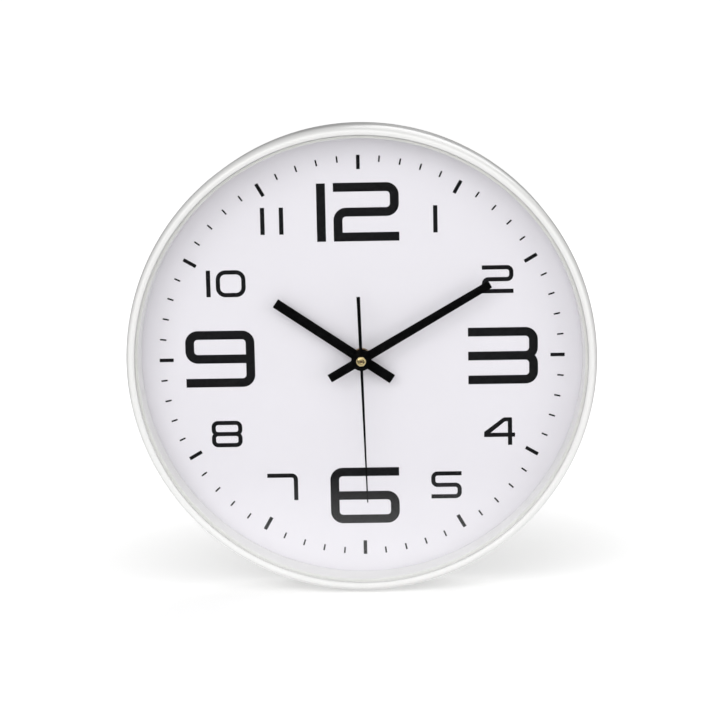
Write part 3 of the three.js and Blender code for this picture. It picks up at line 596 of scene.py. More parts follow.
def case_frame():
    wall_foot_z = 0.3
    lip_z = CREST_Z - 1.7
    crest = (CREST_RADIUS, WIDEST_Z)
    lip = (CREST_RADIUS, lip_z)
    profile = [(SKIRT_OUTER_REAR, REAR_Z, 0.5)]
    profile += rim_arc(crest, RIM_RADIUS - CREST_RADIUS, CREST_Z - WIDEST_Z, 0, 90, 18)
    profile += rim_arc(lip, CREST_RADIUS - LIP_RADIUS, CREST_Z - lip_z, 90, 180, 10)[1:]
    profile += [(LIP_RADIUS, LEDGE_Z, 0.15), (WALL_TOP_RADIUS, LEDGE_Z, 0.35)]
    profile += [(WALL_FOOT_RADIUS, wall_foot_z, 0.2), (WALL_OUTER_RADIUS, wall_foot_z, 0.2)]
    profile += [(WALL_OUTER_RADIUS, CHANNEL_ROOF_Z, 0.5), (SKIRT_INNER[1], CHANNEL_ROOF_Z, 0.5)]
    profile += [(SKIRT_INNER[0], REAR_Z, 0.5)]
    boss = block(142.6, 148.2, -2.8, 2.8, wall_foot_z, CHANNEL_ROOF_Z + 0.5, radius=1.2)
    pilot = prism(circle(1.3, 24, (SCREW_CIRCLE, 0)), -1, 9.5)
    bosses = [moved(boss, angle=angle) for angle in SCREW_ANGLES]
    pilots = [moved(pilot, angle=angle) for angle in SCREW_ANGLES]
    return carved(lathe(filleted(profile), SMOOTH_SIDES), *adding(*bosses), *cutting(*pilots))


def glass_lens():
    radius, low, high = round_size("glass_lens")
    profile = [(0, low), (radius, low, 0.25), (radius, high, 0.4), (0, high)]
    return lathe(filleted(profile, arc_step=20), SMOOTH_SIDES)


def ring(inner, outer, low, high, edge, sides=96):
    return lathe(rectangle(inner, low, outer, high, edge, arc_step=22), sides)


SEAL_WIDTH = 1.5
seal_outer, *seal_heights = round_size("glass_seal")
seal = ring(seal_outer - SEAL_WIDTH, seal_outer, *seal_heights, 0.15, SMOOTH_SIDES)
build("rim_case", case_frame(), CASE, "case", ["case_frame"])
build("front_glass", glass_lens(), GLASS, "case", ["glass_lens"])
build("foam_seal", seal, FOAM, "case", ["glass_seal"])


# ---- Dial with its printed minute track and numerals

SHAFT_HOLE_RADIUS = 4.4
INK_THICKNESS = 0.03
dial = ring(SHAFT_HOLE_RADIUS, *round_size("dial_plate"), 0.1, SMOOTH_SIDES)
build("dial_sheet", dial, DIAL, "case", ["dial_plate"])


def track_mark(inner, outer, width, minute):
    mark = prism(rectangle(-width / 2, inner, width / 2, outer, 0.15), 0, INK_THICKNESS)
    return moved(mark, angle=-TURN * minute / 60)


def minute_track():
    outer = 130.1
    hours = [track_mark(121.0, outer, 2.3, minute) for minute in range(0, 60, 5)]
    minutes = [track_mark(126.0, outer, 1.05, minute) for minute in range(60) if minute % 5]
    return merged(*hours, *minutes)


# Numerals are strokes of one width along lines of a grid. Its columns L and R and its rows B, M
# and T are the middles of the outermost strokes. A stroke's corners are rounded unless marked
# square, and its open ends stop square, half a stroke past the grid.
L, R = 0.0, 1.0
B, M, T = 0.0, 0.5, 1.0
SQUARE = "square"

GLYPHS = {
    "0": [("ring", (L, B), (R, B), (R, T), (L, T))],
    "1": [("line", (L, B), (L, T))],
    "2": [("line", (L, T), (R, T), (R, M), (L, M), (L, B, SQUARE), (R, B))],
    "3": [("line", (L, T), (R, T), (R, M), (L, M)), ("line", (L, M), (R, M), (R, B), (L, B))],
    "5": [("line", (R, T), (L, T), (L, M), (R, M), (R, B), (L, B))],
    "6": [("ring", (L, B), (R, B), (R, M), (L, M, SQUARE)), ("line", (R, T), (L, T), (L, M))],
    "7": [("line", (L, T), (R, T), (R, B))],
    "8": [("ring", (L, M), (R, M), (R, T), (L, T)), ("ring", (L, B), (R, B), (R, M), (L, M))],
    "9": [("ring", (L, M), (R, M, SQUARE), (R, T), (L, T)), ("line", (L, B), (R, B), (R, M))],
}


def stroke_side(corners, width, radius, closed):
    """One side of a stroke: its middle line moved to the left by half its width, with arcs."""
    side = []
    count = len(corners)
    for i, (x, y, rounded) in enumerate(corners):
        here = Vector((x, y))
        before = here - Vector(corners[i - 1][:2]) if closed or i > 0 else None
        after = Vector(corners[(i + 1) % count][:2]) - here if closed or i < count - 1 else None
        before = (before or after).normalized()
        after = (after or before).normalized()
        left = Vector((-before.y - after.y, before.x + after.x)) / (1 + before.dot(after))
        corner = here + left * width / 2
        turning = before.x * after.y - before.y * after.x
        bend = radius - width / 2 if turning > 0 else radius + width / 2
        side.append((corner.x, corner.y, bend if rounded and abs(turning) > 0.5 else 0))
    return side


def stroke(points, width, radius, closed):
    corners = [(x, y, not marks) for x, y, *marks in points]
    left = stroke_side(corners, width, radius, closed)
    right = stroke_side(corners[::-1], width, radius, closed)
    if closed:
        return prism(filleted(right, arc_step=8)[::-1], 0, 1, [filleted(left, arc_step=8)])
    return prism(filleted((left + right)[::-1], arc_step=8), 0, 1)


def extended(points, reach):
    """The line's two open ends moved out by a reach."""
    points = list(points)
    for end, inner in ((0, 1), (-1, -2)):
        tip, *marks = Vector(points[end][:2]), *points[end][2:]
        out = (tip - Vector(points[inner][:2])).normalized() * reach
        points[end] = (tip.x + out.x, tip.y + out.y, *marks)
    return points


def glyph(character, left, bottom, right, top, width, radius):
    """A numeral that fills a box on the dial."""
    half = width / 2
    across = right - left - width
    upright = top - bottom - width
    strokes = []
    for kind, *points in GLYPHS[character]:
        placed = [(left + half + x * across, bottom + half + y * upright, *marks) for x, y, *marks in points]
        if kind == "line":
            placed = extended(placed, half)
        strokes.append(stroke(placed, width, radius, kind == "ring"))
    return united(strokes)


def four(left, bottom, right, top, width):
    """The 4 has a slanted stroke, a crossbar and a stem that stands in from the right."""
    stem_right = right - 1.9
    stem_left = stem_right - width
    bar_bottom = bottom + 5.4
    bar_top = bar_bottom + width
    inner_top = top - width + 0.1
    off_level = 0.02                   # keeps the bar's lower corners out of one line
    outline = [(stem_left, bottom), (stem_right, bottom), (stem_right, bar_bottom), (right, bar_bottom)]
    outline += [(right, bar_top), (stem_right, bar_top), (stem_right, top, 0.6), (left + 12.6, top, 2.5)]
    outline += [(left, bar_top + 0.6, 0.8), (left, bar_bottom - off_level, 0.4), (stem_left, bar_bottom)]
    inner = [(left + 4.3, bar_top), (stem_left, bar_top), (stem_left, inner_top)]
    inner.append((left + 13.5, inner_top, 0.8))
    return prism(filleted(outline), 0, 1, [filleted(inner)])


BIG = {"width": 5.7, "radius": 5.2}
SMALL = {"width": 2.75, "radius": 2.75}
NUMERALS = [
    ("1", -26.9, 75.1, -21.2, 112.3, BIG),
    ("2", -16.2, 75.1, 25.5, 112.5, BIG),
    ("3", 68.3, -18.6, 113.0, 18.2, BIG),
    ("6", -21.9, -109.4, 22.8, -72.4, BIG),
    ("9", -113.3, -18.1, -68.7, 18.7, BIG),
    ("1", 47.1, 79.9, 49.9, 97.3, SMALL),
    ("2", 77.6, 40.3, 97.7, 58.3, SMALL),
    ("5", 43.5, -93.6, 63.2, -75.7, SMALL),
    ("7", -62.8, -93.5, -42.9, -75.7, SMALL),
    ("8", -98.0, -57.7, -78.1, -40.3, SMALL),
    ("1", -98.6, 40.6, -95.8, 57.8, SMALL),
    ("0", -92.4, 40.4, -73.3, 57.8, {"width": 2.75, "radius": 4.8}),
    ("1", -62.9, 80.1, -60.1, 97.4, SMALL),
    ("1", -50.9, 80.1, -48.1, 97.4, SMALL),
]


def numerals():
    shapes = [glyph(character, *box, **style) for character, *box, style in NUMERALS]
    shapes.append(four(78.0, -58.8, 98.0, -40.6, SMALL["width"]))
    points, faces = merged(*shapes)
    return [Vector((point.x, point.y, point.z * INK_THICKNESS)) for point in points], faces


build("dial_minute_track", minute_track(), INK, "case", [])
build("dial_numerals", numerals(), INK, "case", [])


# ---- Hands and the hardware at the centre


def hand_outline(length, tail, tip_width, hub_width, tail_width, hub):
    """A flat bar through a round hub, pointing at 12."""

    def hub_angle(end, end_width):
        height = hub
        for _ in range(4):
            half = hub_width / 2 + (end_width - hub_width) / 2 * height / end
            height = math.sqrt(hub**2 - half**2)
        return math.atan2(height, half)

    top = hub_angle(length, tip_width)
    bottom = hub_angle(tail, tail_width)
    steps = 20
    right = [polar(hub, -bottom + (top + bottom) * i / steps) for i in range(steps + 1)]
    left = [(-x, y) for x, y in reversed(right)]
    tail_end = [(-tail_width / 2, -tail), (tail_width / 2, -tail)]
    tip_end = [(tip_width / 2, length), (-tip_width / 2, length)]
    return tail_end + right + tip_end + left


# Length, tail, widths of tip, middle and tail's end, radius of the hub, and its bore
HANDS = {
    "hour": (65.6, 23.7, 6.3, 6.3, 6.3, 6.4, 3.15),
    "minute": (95.3, 23.6, 5.0, 5.75, 5.5, 6.2, 2.25),
    "second": (92.5, 41.3, 0.8, 1.9, 2.3, 6.4, 1.2),
}
REST_ANGLE = {"hour": 304.3, "minute": 60, "second": 178.5}   # degrees clockwise from 12


def hand(name, edge):
    *size, bore = HANDS[name]
    shape = prism(hand_outline(*size), *heights(f"{name}_hand"), [circle(bore, 48)], edge)
    return moved(shape, angle=-math.radians(REST_ANGLE[name]))


def bush(node, inner, neck):
    """A turned bush: a flange under the hand, and a neck that is riveted over it."""
    flange, low, high = round_size(node)
    shoulder = heights(node.removesuffix("_bush"))[0] - 0.02
    corners = [(inner, low, 0.08), (flange, low, 0.15), (flange, shoulder, 0.1)]
    corners += [(neck, shoulder), (neck, high, 0.15), (inner, high, 0.08)]
    return lathe(filleted(corners, arc_step=22), 72)


def second_cap():
    radius, low, top = round_size("second_hand_cap")
    disc_low = heights("second_hand")[1] + 0.05
    dimple = 1.0
    dome = 1.5
    socket = 0.62
    socket_end = 14.5
    tube_radius = 1.1
    profile = [(0, socket_end), (socket, socket_end), (socket, low, 0.08), (tube_radius, low, 0.15)]
    profile += [(tube_radius, disc_low), (radius, disc_low, 0.12)]
    profile += rim_arc((dimple, top - dome), radius - dimple, dome, 0, 84, 12)
    profile += [(dimple * 0.95, top - 0.15, 0.1), (dimple * 0.6, top - 0.75, 0.2), (0, top - 0.85)]
    return lathe(filleted(profile, arc_step=20), 72)


def painted_shade_in_dimple():
    """A dark disc at the bottom of the cap's dimple: painted shade, standing for the shadow in its hollow."""
    top = heights("second_hand_cap")[1] - 0.35
    return lathe([(0, top - 0.4), (0.66, top - 0.4), (0.81, top), (0, top)], 48)


def dial_nut():
    corner, low, high = round_size("dial_nut")
    thread_bore = 4.05
    beyond = corner + 0.1
    hexagon = prism(circle(corner, 6), low - 1, high + 1)
    bevelled = [(thread_bore, low), (corner - 0.5, low), (beyond, low + 0.42)]
    bevelled += [(beyond, high - 0.51), (corner - 0.75, high), (thread_bore, high)]
    return carved(lathe(bevelled, 144), ("INTERSECT", hexagon))


def threaded_bush():
    flange, low, high = round_size("threaded_bush")
    bore, crest, root = 2.9, 3.9, 3.9 - 0.38
    flange_high = low + 0.8
    pitch = 0.75
    ridges = []
    height = flange_high + 0.5
    while height < high - 0.9:
        ridges += [(root, height), (crest, height + pitch * 0.4), (crest, height + pitch * 0.5)]
        height += pitch
    profile = [(bore, low), (flange, low, 0.15), (flange, flange_high, 0.15), (root, flange_high)]
    profile += [*ridges, (crest - 0.4, high, 0.1), (bore, high, 0.1)]
    return lathe(filleted(profile, arc_step=30), 72)


WASHER_BORE = 4.2
washer = ring(WASHER_BORE, *round_size("brass_washer"), 0.12, 72)
build("hour_hand_bar", hand("hour", 0.1), HAND, "hours", ["hour_hand"])
build("minute_hand_bar", hand("minute", 0.1), HAND, "minutes", ["minute_hand"])
build("second_hand_needle", hand("second", 0.06), HAND, "seconds", ["second_hand"])
build("hour_bush", bush("hour_hand_bush", 2.65, 3.1), BRASS, "hours", ["hour_hand_bush"])
build("minute_bush", bush("minute_hand_bush", 1.65, 2.2), BRASS, "minutes", ["minute_hand_bush"])
build("second_cap", second_cap(), BRASS, "seconds", ["second_hand_cap"])
# A dark disc paints the shade in the hollow of the cap's dimple
build("second_cap_painted_shade", painted_shade_in_dimple(), PAINTED_SHADE_BRASS, "seconds", [])
build("hex_nut", dial_nut(), DULL_BRASS, "case", ["dial_nut"])
build("dial_washer", washer, DULL_BRASS, "case", ["brass_washer"])
build("bush_threaded", threaded_bush(), BRASS, "case", ["threaded_bush"])


# ---- Back plate and its screws

POCKET_REAR, PLATE_FRONT = heights("back_plate")
PLATE_REAR = PLATE_FRONT - 2
PLATE_RADIUS = radius_of("back_plate")
HOOK_Y = (TO_DIAL @ Vector((0, 0, 0))).y          # top of the keyhole slot
SCREW_COLLAR = 0.3                 # the screw heads sit on low collars
COLLAR_CIRCLE = SCREW_CIRCLE - 1   # and these keep clear of the plate's edge


def rear_plate():
    into_plate = PLATE_REAR + 0.2      # what stands on the plate starts a little inside it
    clear = PLATE_FRONT + 1
    hoop_inner, hoop_outer = 118, 119.6
    rib_low, rib_half, rib_start = PLATE_REAR - 3, 0.8, 44
    disc = prism(circle(PLATE_RADIUS, SMOOTH_SIDES), PLATE_REAR, PLATE_FRONT, edge=0.3)
    hoop = ring(hoop_inner, hoop_outer, rib_low, into_plate, 0.3, SMOOTH_SIDES)
    spoke = block(rib_start, hoop_inner + 0.6, -rib_half, rib_half, rib_low, into_plate, edge=0.3)
    spokes = [moved(spoke, angle=TURN * (i + 0.5) / 8) for i in range(8)]
    nest = prism(square(30, 4), PLATE_REAR - 5, into_plate, [square(28.5, 2.5)], edge=0.35)
    half, bottom, top, wall = 15, 82, 110, 2
    pocket = block(-half, half, bottom, top, POCKET_REAR, into_plate, radius=3, edge=0.9)
    collar_bore, collar_radius = 1.7, 3.4
    collar = ring(collar_bore, collar_radius, PLATE_REAR - SCREW_COLLAR, into_plate, 0.12, 32)
    collars = [moved(collar, *polar(COLLAR_CIRCLE, angle)) for angle in SCREW_ANGLES]

    pocket_floor = POCKET_REAR + 2.2
    keyhole = (POCKET_REAR - 1, pocket_floor + 1)
    entry_y, entry_radius, slot_half = 90.5, 4.8, 2.3
    inside = (wall - half, half - wall, bottom + wall, top - wall)
    hollow = block(*inside, pocket_floor, clear, radius=1.5)
    entry = prism(circle(entry_radius, 48, (0, entry_y)), *keyhole)
    slot = block(-slot_half, slot_half, entry_y, HOOK_Y, *keyhole, radius=slot_half - 0.01)
    holes = [circle(1.5, 24, polar(SCREW_CIRCLE, angle)) for angle in SCREW_ANGLES]
    holes.append(circle(SHAFT_HOLE_RADIUS, 60))
    through = [prism(hole, PLATE_REAR - 1, clear) for hole in holes]
    ejector = prism(circle(3.6, 32), PLATE_REAR - 0.5, PLATE_REAR + 0.15)
    marks = [moved(ejector, *polar(radius, TURN * i / 8)) for i in range(8) for radius in (62, 130)]
    changes = adding(hoop, merged(*spokes), nest, pocket, merged(*collars))
    changes += cutting(hollow, entry, slot, merged(*through), merged(*marks))
    return carved(disc, *changes)


def plate_screw():
    """A pan head screw with a cross recess. Its head is at the low end."""
    head, head_low, tip = round_size("case_screw_1")
    seat = PLATE_REAR - SCREW_COLLAR
    rounded = 1.1
    crest, root, pitch = 1.1, 0.78, 0.95
    thread = []
    height = seat + 0.8
    while height < tip - 2.2:
        thread += [(root, height), (crest, height + 0.4), (crest, height + 0.5)]
        height += pitch
    profile = rim_arc((0, head_low + rounded), head, rounded, -90, 0, 8)
    profile += [(head, seat, 0.1), (crest, seat), (crest, seat + 0.5), *thread]
    profile += [(root, height), (root * 0.8, tip - 1), (0, tip)]
    arm = block(-1.45, 1.45, -0.32, 0.32, head_low - 0.5, head_low + 1.15)
    return carved(lathe(filleted(profile), 36), *cutting(arm, moved(arm, angle=TURN / 4)))


build("rear_plate", rear_plate(), PLATE, "case", ["back_plate"])
SCREW = plate_screw()
for i, screw_angle in enumerate(SCREW_ANGLES, 1):
    driven = screw_angle * 3.1         # each one was stopped at an angle of its own
    placed = moved(SCREW, *polar(SCREW_CIRCLE, screw_angle), angle=driven)
    build(f"plate_screw_{i}", placed, STEEL, "case", [f"case_screw_{i}"])


# ---- Movement case. Depths are measured back from its front face.

housing_low, housing_high = span("movement_housing")
HALF = housing_high.x
MOVEMENT_FRONT = housing_high.z
MOVEMENT_DEPTH = housing_high.z - housing_low.z
SIDE_WALL = 1.4
INSIDE = HALF - SIDE_WALL
FRONT_WALL = 1.2
BAY_TOP = -11.2
COVER_BOTTOM = -10.5
COVER_FRONT = MOVEMENT_DEPTH - 1.3
KNOB_CENTRE = centre_of("setting_knob")
KNOB_RADIUS = radius_of("setting_knob")
cell_low, cell_high = span("aa_cell")
CELL_RADIUS = (cell_high.y - cell_low.y) / 2
CELL_Y = (cell_high.y + cell_low.y) / 2
CELL_Z = (cell_high.z + cell_low.z) / 2


def layer(outline, near, far, holes=(), edge=0.0):
    """A prism between two depths."""
    return prism(outline, MOVEMENT_FRONT - far, MOVEMENT_FRONT - near, holes, edge)


def standing(shape):
    """A shape made in (y, z) with its height along x."""
    return [Vector((point.z, point.x, point.y)) for point in shape[0]], shape[1]


def lying(shape):
    """A shape made in (z, x) with its height along y."""
    return [Vector((point.y, point.z, point.x)) for point in shape[0]], shape[1]


def bar_mark(x, y, long, wide, near, far, angle=0.0):
    bar = layer(rectangle(-long / 2, -wide / 2, long / 2, wide / 2, wide * 0.3), near, far)
    return moved(bar, x, y, angle=angle)


def polarity(reach, y, *size):
    """The bars of a plus on the right and of a minus on the left."""
    plus = [bar_mark(reach[1], y, *size, angle) for angle in (0, TURN / 4)]
    return *plus, bar_mark(reach[0], y, *size)


def movement_shell():
    beyond = MOVEMENT_DEPTH + 1
    body = layer(square(HALF, 3), 0, MOVEMENT_DEPTH, edge=0.4)
    gear_room = layer(rectangle(-INSIDE, -10, INSIDE, INSIDE, 0.8), FRONT_WALL, beyond)
    cell_bay = layer(rectangle(-INSIDE, -INSIDE, INSIDE, BAY_TOP, 0.8), FRONT_WALL, beyond)
    step = rectangle(-HALF - 1, COVER_BOTTOM - 0.3, HALF + 1, HALF + 1)
    seat = layer(step, COVER_FRONT - 0.3, beyond)
    bush_hole = layer(circle(4.1, 48), -1, FRONT_WALL + 1)
    notch_inner, notch_outer = 25.6, 26.752
    notches = [
        layer(rectangle(left, BAY_TOP - 1, right, -9), 7, COVER_FRONT)
        for left, right in ((-notch_outer, -notch_inner), (notch_inner, notch_outer))
    ]
    rib_ends = (MOVEMENT_FRONT - 4.6, MOVEMENT_FRONT - FRONT_WALL + 0.1)
    rib = standing(block(CELL_Y - 7.5, CELL_Y + 7.5, *rib_ends, -0.6, 0.6))
    ribs = [moved(rib, x) for x in (-17, 17)]
    cradle = prism(circle(CELL_RADIUS + 0.25, 64, (CELL_Y, CELL_Z)), -INSIDE + 0.5, INSIDE - 0.5)
    thumb = circle(8.5, 64, (MOVEMENT_FRONT - MOVEMENT_DEPTH - 2.4, 0))
    thumb_room = prism(thumb, -HALF - 1, -INSIDE + 0.5)
    marks = polarity((-20.5, 20.5), CELL_Y, 3.6, 0.8, 0.85, FRONT_WALL + 1)
    changes = cutting(gear_room, cell_bay) + adding(merged(*ribs))
    changes += cutting(standing(cradle), seat, bush_hole, merged(*notches), lying(thumb_room), *marks)
    return carved(body, *changes)


def arc_arrow(inner, outer, start, end, near, far):
    """A raised arc about the knob with a head at its end, between two angles in degrees."""
    start, end = math.radians(start), math.radians(end)
    steps = 14
    angles = [start + (end - start) * i / steps for i in range(steps + 1)]
    head = (outer - inner) * 1.2
    middle = (inner + outer) / 2
    point = polar(middle, end + math.copysign(0.2, end - start))
    outline = [polar(outer, angle) for angle in angles]
    outline += [polar(middle + head, end), point, polar(middle - head, end)]
    outline += [polar(inner, angle) for angle in reversed(angles)]
    if end < start:
        outline.reverse()
    return layer(outline, near, far)


def movement_lid():
    rear = MOVEMENT_DEPTH
    beyond = rear + 1
    plate = layer(rectangle(-HALF, COVER_BOTTOM, HALF, HALF, 1.5), COVER_FRONT, rear, edge=0.35)
    opening = KNOB_RADIUS + 0.5
    lip_ends = (MOVEMENT_FRONT - rear - 0.4, MOVEMENT_FRONT - rear + 0.2)
    lip = ring(opening, KNOB_RADIUS + 1.7, *lip_ends, 0.2)
    knob_hole = layer(circle(opening), COVER_FRONT - 1, beyond)
    arrow_band = (8.3, 8.8)
    arrow_ends = (rear - 0.1, rear + 0.25)
    turns = ((75, 25), (105, 155))
    arrows = merged(*[arc_arrow(*arrow_band, *turn, *arrow_ends) for turn in turns])
    panel = layer(rectangle(-9, 3.5, 24.5, 24.5, 1.5), rear - 0.3, beyond)
    pivots = [(0, 0), *map(centre_of, ("third_wheel", "step_wheel", "rotor_magnet"))]
    wells = [layer(circle(1.2, 32, place), rear - 0.6, beyond) for place in pivots]
    vents = [block(x - 3.2, x + 3.2, 26.6, HALF + 1, -40, 0) for x in (-18, 16)]
    groove = layer(rectangle(-HALF - 1, -7.2, HALF + 1, -6.7), rear - 0.25, beyond)
    marks = polarity((-24.5, 21.5), -8.9, 2.4, 0.5, rear - 0.1, rear + 0.2)
    lip, knob_hole, arrows = (moved(shape, *KNOB_CENTRE) for shape in (lip, knob_hole, arrows))
    changes = cutting(panel, groove) + adding(lip) + cutting(knob_hole) + adding(arrows)
    changes += cutting(merged(*wells), merged(*vents)) + adding(*marks)
    return carved(plate, *changes)


def set_knob():
    """A knurled disc with a sunk face and a finger bar across it. Its face is at the low end."""
    low, high = heights("setting_knob")
    ridges = 24
    steps = ridges * 8
    knurl = [0.32 * math.sin(ridges * TURN * i / steps / 2) ** 2 for i in range(steps)]
    outline = [polar(KNOB_RADIUS - depth, TURN * i / steps) for i, depth in enumerate(knurl)]
    face = prism(circle(KNOB_RADIUS - 1.1, 72), low - 1, low + 0.45)
    bar = block(-3.5, 3.5, -0.65, 0.65, low + 0.05, low + 0.7, radius=0.6, edge=0.15)
    return carved(prism(outline, low, high, edge=0.2), *cutting(face), *adding(bar))


cushion = ring(WASHER_BORE, *round_size("rubber_washer"), 0.25)
knob = moved(set_knob(), *KNOB_CENTRE, angle=0.5)
build("cushion_washer", cushion, RUBBER, "case", ["rubber_washer"])
build("movement_shell", movement_shell(), HOUSING, "case", ["movement_housing"])
build("movement_lid", movement_lid(), HOUSING, "case", ["movement_cover"])
build("set_knob", knob, KNOB, "setting", ["setting_knob"])


# ---- Cell and contacts


def cell_can():
    """The steel can with its button at the high end."""
    radius = CELL_RADIUS - 0.1
    button = 2.75
    rear = cell_low.x
    tip = cell_high.x
    shoulder = tip - 1.2
    step = shoulder - 0.35
    profile = [(0, rear + 0.25), (radius - 2.2, rear + 0.25, 0.2), (radius - 1.7, rear, 0.2)]
    profile += [(radius, rear, 0.6), (radius, shoulder, 0.5), (button + 1.3, shoulder, 0.3)]
    profile += [(button + 0.9, step, 0.2), (button, step, 0.1), (button, tip, 0.5), (0, tip)]
    return turned_to_x(lathe(filleted(profile)))


def cell_sleeve():
    rear = cell_low.x + 0.5
    front = cell_high.x - 1.75
    corners = [(CELL_RADIUS - 0.09, rear, 0.03), (CELL_RADIUS, rear, 0.04)]
    corners += [(CELL_RADIUS, front, 0.04), (CELL_RADIUS - 0.09, front, 0.03)]
    return turned_to_x(lathe(filleted(corners)))


def contact(node, side):
    """A plated strip: a pad behind the cell's end, and a leg up the wall to the circuit board."""
    low, high = span(node)
    outside = high.x if side > 0 else low.x
    inside = outside - side * 0.4
    strip = sorted((outside, inside))
    pad_ends = (MOVEMENT_FRONT - 13, MOVEMENT_FRONT - 4)
    leg_ends = (MOVEMENT_FRONT - 11.6, MOVEMENT_FRONT - 8.6)
    foot_ends = (MOVEMENT_FRONT - 10.5, MOVEMENT_FRONT - 10.1)
    pad = standing(block(CELL_Y - 5, CELL_Y + 5, *pad_ends, *strip, 1.2, 0.08))
    leg = standing(block(CELL_Y + 4, high.y, *leg_ends, *strip, 0.4, 0.08))
    foot = block(*sorted((outside, side * 23)), high.y - 2, high.y, *foot_ends, 0.1, 0.08)
    return carved(pad, *adding(leg, foot)), inside


def button_bump(inside):
    """A pressed bump that meets the cell's button."""
    height = inside - cell_high.x - 0.05
    radius = 1.8
    sunk = 0.1
    arc = rim_arc((0, 0), radius, height, 0, 90, 8)
    bump = turned_to_x(lathe([(0, -sunk), (radius, -sunk), *arc], 48))
    turned_round = [Vector((inside - p.x, CELL_Y - p.y, CELL_Z + p.z)) for p in bump[0]]
    return turned_round, bump[1]


def cone_spring(inside):
    """The wire winds inwards from the strip to the cell's flat end."""
    turns = 3.5
    steps = int(turns * 30)
    wire = 0.28
    path = []
    for i in range(steps + 1):
        share = i / steps
        radius = 4 - 2 * share
        x = inside + wire + (cell_low.x - 0.05 - wire - inside - wire) * share
        y, z = polar(radius, TURN * turns * share, (CELL_Y, CELL_Z))
        path.append((x, y, z))
    return tube(path, wire, 12)


build("cell_can", moved(cell_can(), 0, CELL_Y, CELL_Z), CELL_STEEL, "cell", ["aa_cell"])
build("cell_sleeve", moved(cell_sleeve(), 0, CELL_Y, CELL_Z), SLEEVE, "cell", [])
plus_contact, plus_inside = contact("contact_positive", 1)
build("plus_contact", plus_contact, SPRING_STEEL, "case", ["contact_positive"])
build("plus_contact_bump", button_bump(plus_inside), SPRING_STEEL, "case", [])
minus_contact, minus_inside = contact("contact_negative", -1)
build("minus_contact", minus_contact, SPRING_STEEL, "case", ["contact_negative"])
build("minus_contact_spring", cone_spring(minus_inside), SPRING_STEEL, "case", [])


# ---- The works inside keep their CAD shapes and take these materials

for finish, inner_nodes in (
    (GEAR_WHITE, ("middle_plate", "rotor_pinion", "step_wheel", "minute_pipe", "hour_wheel", "setting_gear")),
    (GEAR_NATURAL, ("seconds_wheel", "centre_wheel", "minute_wheel")),
    (GEAR_BLUE, ("third_wheel",)),
    (SPRING_STEEL, ("clutch_spring", "seconds_arbor")),
    (FERRITE, ("rotor_magnet",)),
    (CORE_STEEL, ("stator", "coil_core")),
    (BOBBIN, ("coil_bobbin",)),
    (COPPER, ("coil_winding", "coil_lead_1", "coil_lead_2")),
    (BOARD, ("circuit_board",)),
    (EPOXY, ("ic_chip",)),
    (STEEL, ("quartz_crystal",)),
):
    for inner_node in inner_nodes:
        for inner_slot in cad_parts[inner_node].material_slots:
            inner_slot.material = finish


# ---- Camera, light and floor


def add_camera():
    offset = Vector((0.0382, -1.4269, 0.2513))       # from the middle of the dial, in metres
    heading, pitch, roll = -1.579, -10.054, 1.139     # degrees: to the right, up, and leaning right
    data = bpy.data.cameras.new("camera")
    data.lens = 112.8
    data.sensor_width = 36
    data.clip_start = 0.05
    data.clip_end = 200
    camera = linked("camera", data)
    camera.matrix_world = (
        Matrix.Translation(HANDS_AXIS + offset)
        @ Matrix.Rotation(math.radians(-heading), 4, "Z")
        @ Matrix.Rotation(math.radians(90 + pitch), 4, "X")
        @ Matrix.Rotation(math.radians(-roll), 4, "Z")
    )
    bpy.context.scene.camera = camera


def add_lamp(name, kind, power, towards):
    """A lamp that shines along a direction."""
    data = bpy.data.lights.new(name, kind)
    data.energy = power
    lamp = linked(name, data)
    lamp.rotation_mode = "QUATERNION"
    lamp.rotation_quaternion = Vector(towards).to_track_quat("-Z", "Y")
    return lamp


def add_softbox(name, offset, size, power):
    """A square lamp at an offset from the middle of the dial, facing it."""
    lamp = add_lamp(name, "AREA", power, -Vector(offset))
    lamp.data.size = size
    lamp.location = HANDS_AXIS + Vector(offset)


def add_world():
    """Bright in front and dark behind, so that white edges stand out on white. In mirrors it fades
    towards the horizon, so that the glass shows no line there."""
    world = bpy.data.worlds.new("studio")
    bpy.context.scene.world = world
    sky = Nodes(world)
    place = sky.node("ShaderNodeTexCoord").outputs["Generated"]
    near_horizon = sky.mapped(sky.part(place, "Z"), 0.02, 0.5, 1, 0, smooth=True)
    loss = sky.math("MULTIPLY", sky.ray("Glossy"), near_horizon)
    ambient = sky.mapped(sky.part(place, "Y"), -0.55, 0.15, FRONT_LIGHT, BACK_LIGHT, smooth=True)
    light = sky.math("SUBTRACT", ambient, sky.math("MULTIPLY", ambient, loss))
    inputs = {0: sky.ray("Camera"), 6: light, 7: (BACKDROP, BACKDROP, BACKDROP, 1)}
    seen = sky.node("ShaderNodeMix", inputs, data_type="RGBA").outputs[2]
    sky.links.new(seen, sky.nodes["Background"].inputs["Color"])


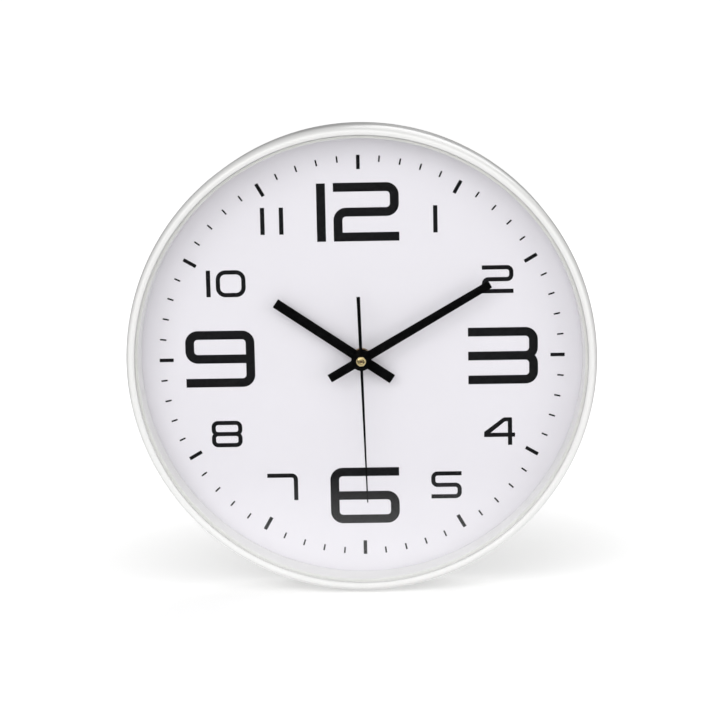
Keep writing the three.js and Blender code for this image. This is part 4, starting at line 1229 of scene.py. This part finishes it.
def floor_material():
    """Pale, and in reflections it fades towards its front and back edges, as a lit table does."""
    look = Look("pale_floor", Roughness=0.6, Specular_IOR_Level=0.2, Emission_Color=(1, 1, 1, 1))
    look.tint(look.noise(900, 2), [(0.3, (0.9, 0.9, 0.9)), (0.7, (0.92, 0.92, 0.92))])
    away = look.node("ShaderNodeVectorMath", {0: look.place}, operation="LENGTH").outputs["Value"]
    # The floor glows less near the clock: painted soft shade round it, laid over its real shadow
    glow = look.mapped(away, *PAINTED_SHADE_REACH, *FLOOR_GLOW_AND_PAINTED_SHADE, smooth=True)
    look.links.new(glow, look.shader.inputs["Emission Strength"])
    along = look.mapped(look.part(look.place, "Y"), TABLE_FRONT, TABLE_BACK, 0, 1)
    stops = [(0.0, 0.0), (0.25, FLOOR_SHINE), (0.42, FLOOR_SHINE), (0.9, FLOOR_SHINE_BEHIND)]
    shine = look.ramp(along, [(position, (value,) * 3) for position, value in stops])
    bounce = look.math("MULTIPLY", look.ray("Diffuse"), FLOOR_BOUNCE)
    direct = look.math("MAXIMUM", look.ray("Camera"), bounce)
    scattered = look.math("MAXIMUM", look.ray("Camera"), look.ray("Diffuse"))
    mirrored = look.math("SUBTRACT", 1.0, scattered)
    mirror_glow = look.node("ShaderNodeEmission", {"Color": shine, "Strength": mirrored})
    look.blend(direct, mirror_glow, look.shader)
    return look.material


def add_floor():
    half = 30
    level = CAD_BOUNDS[0].z - 0.0006
    corners = [(x, y, level) for x, y in ((-half, -half), (half, -half), (half, half), (-half, half))]
    item = raw_object("floor", (corners, [(0, 1, 2, 3)]))
    item.data.materials.append(floor_material())


FRONT_LIGHT = 1.06
BACK_LIGHT = 0.25
BACKDROP = 1.0
# The dimmer glow under the clock paints a soft shade round it, over its real shadow
FLOOR_GLOW_AND_PAINTED_SHADE = (0.25, 0.55)          # under the clock and far from it
PAINTED_SHADE_REACH = (0.25, 0.42)          # metres from the origin: where that change starts and ends
FLOOR_BOUNCE = 0.7                 # share of the floor's light that reaches the clock's underside
FLOOR_SHINE = 1.0                  # how bright the floor is in mirrors
FLOOR_SHINE_BEHIND = 0.2
TABLE_FRONT = -0.38                # the floor's ends in mirrors, along y
TABLE_BACK = 0.55

add_camera()
add_world()
add_lamp("key", "SUN", 0.36, (0.42, 1.0, -0.5)).data.angle = math.radians(45)
add_softbox("rim_softbox", (-1.1, -1.3, 1.0), 0.7, 3)
add_softbox("top_softbox", (-0.1, -1.2, 1.3), 1.2, 1.5)
add_softbox("fill_softbox", (1.2, -0.9, 0.1), 0.8, 3)
add_softbox("rear_softbox", (0.5, 1.4, 1.1), 1.2, 8)
add_floor()

scene = bpy.context.scene
scene.view_settings.view_transform = "Standard"
scene.view_settings.look = "None"
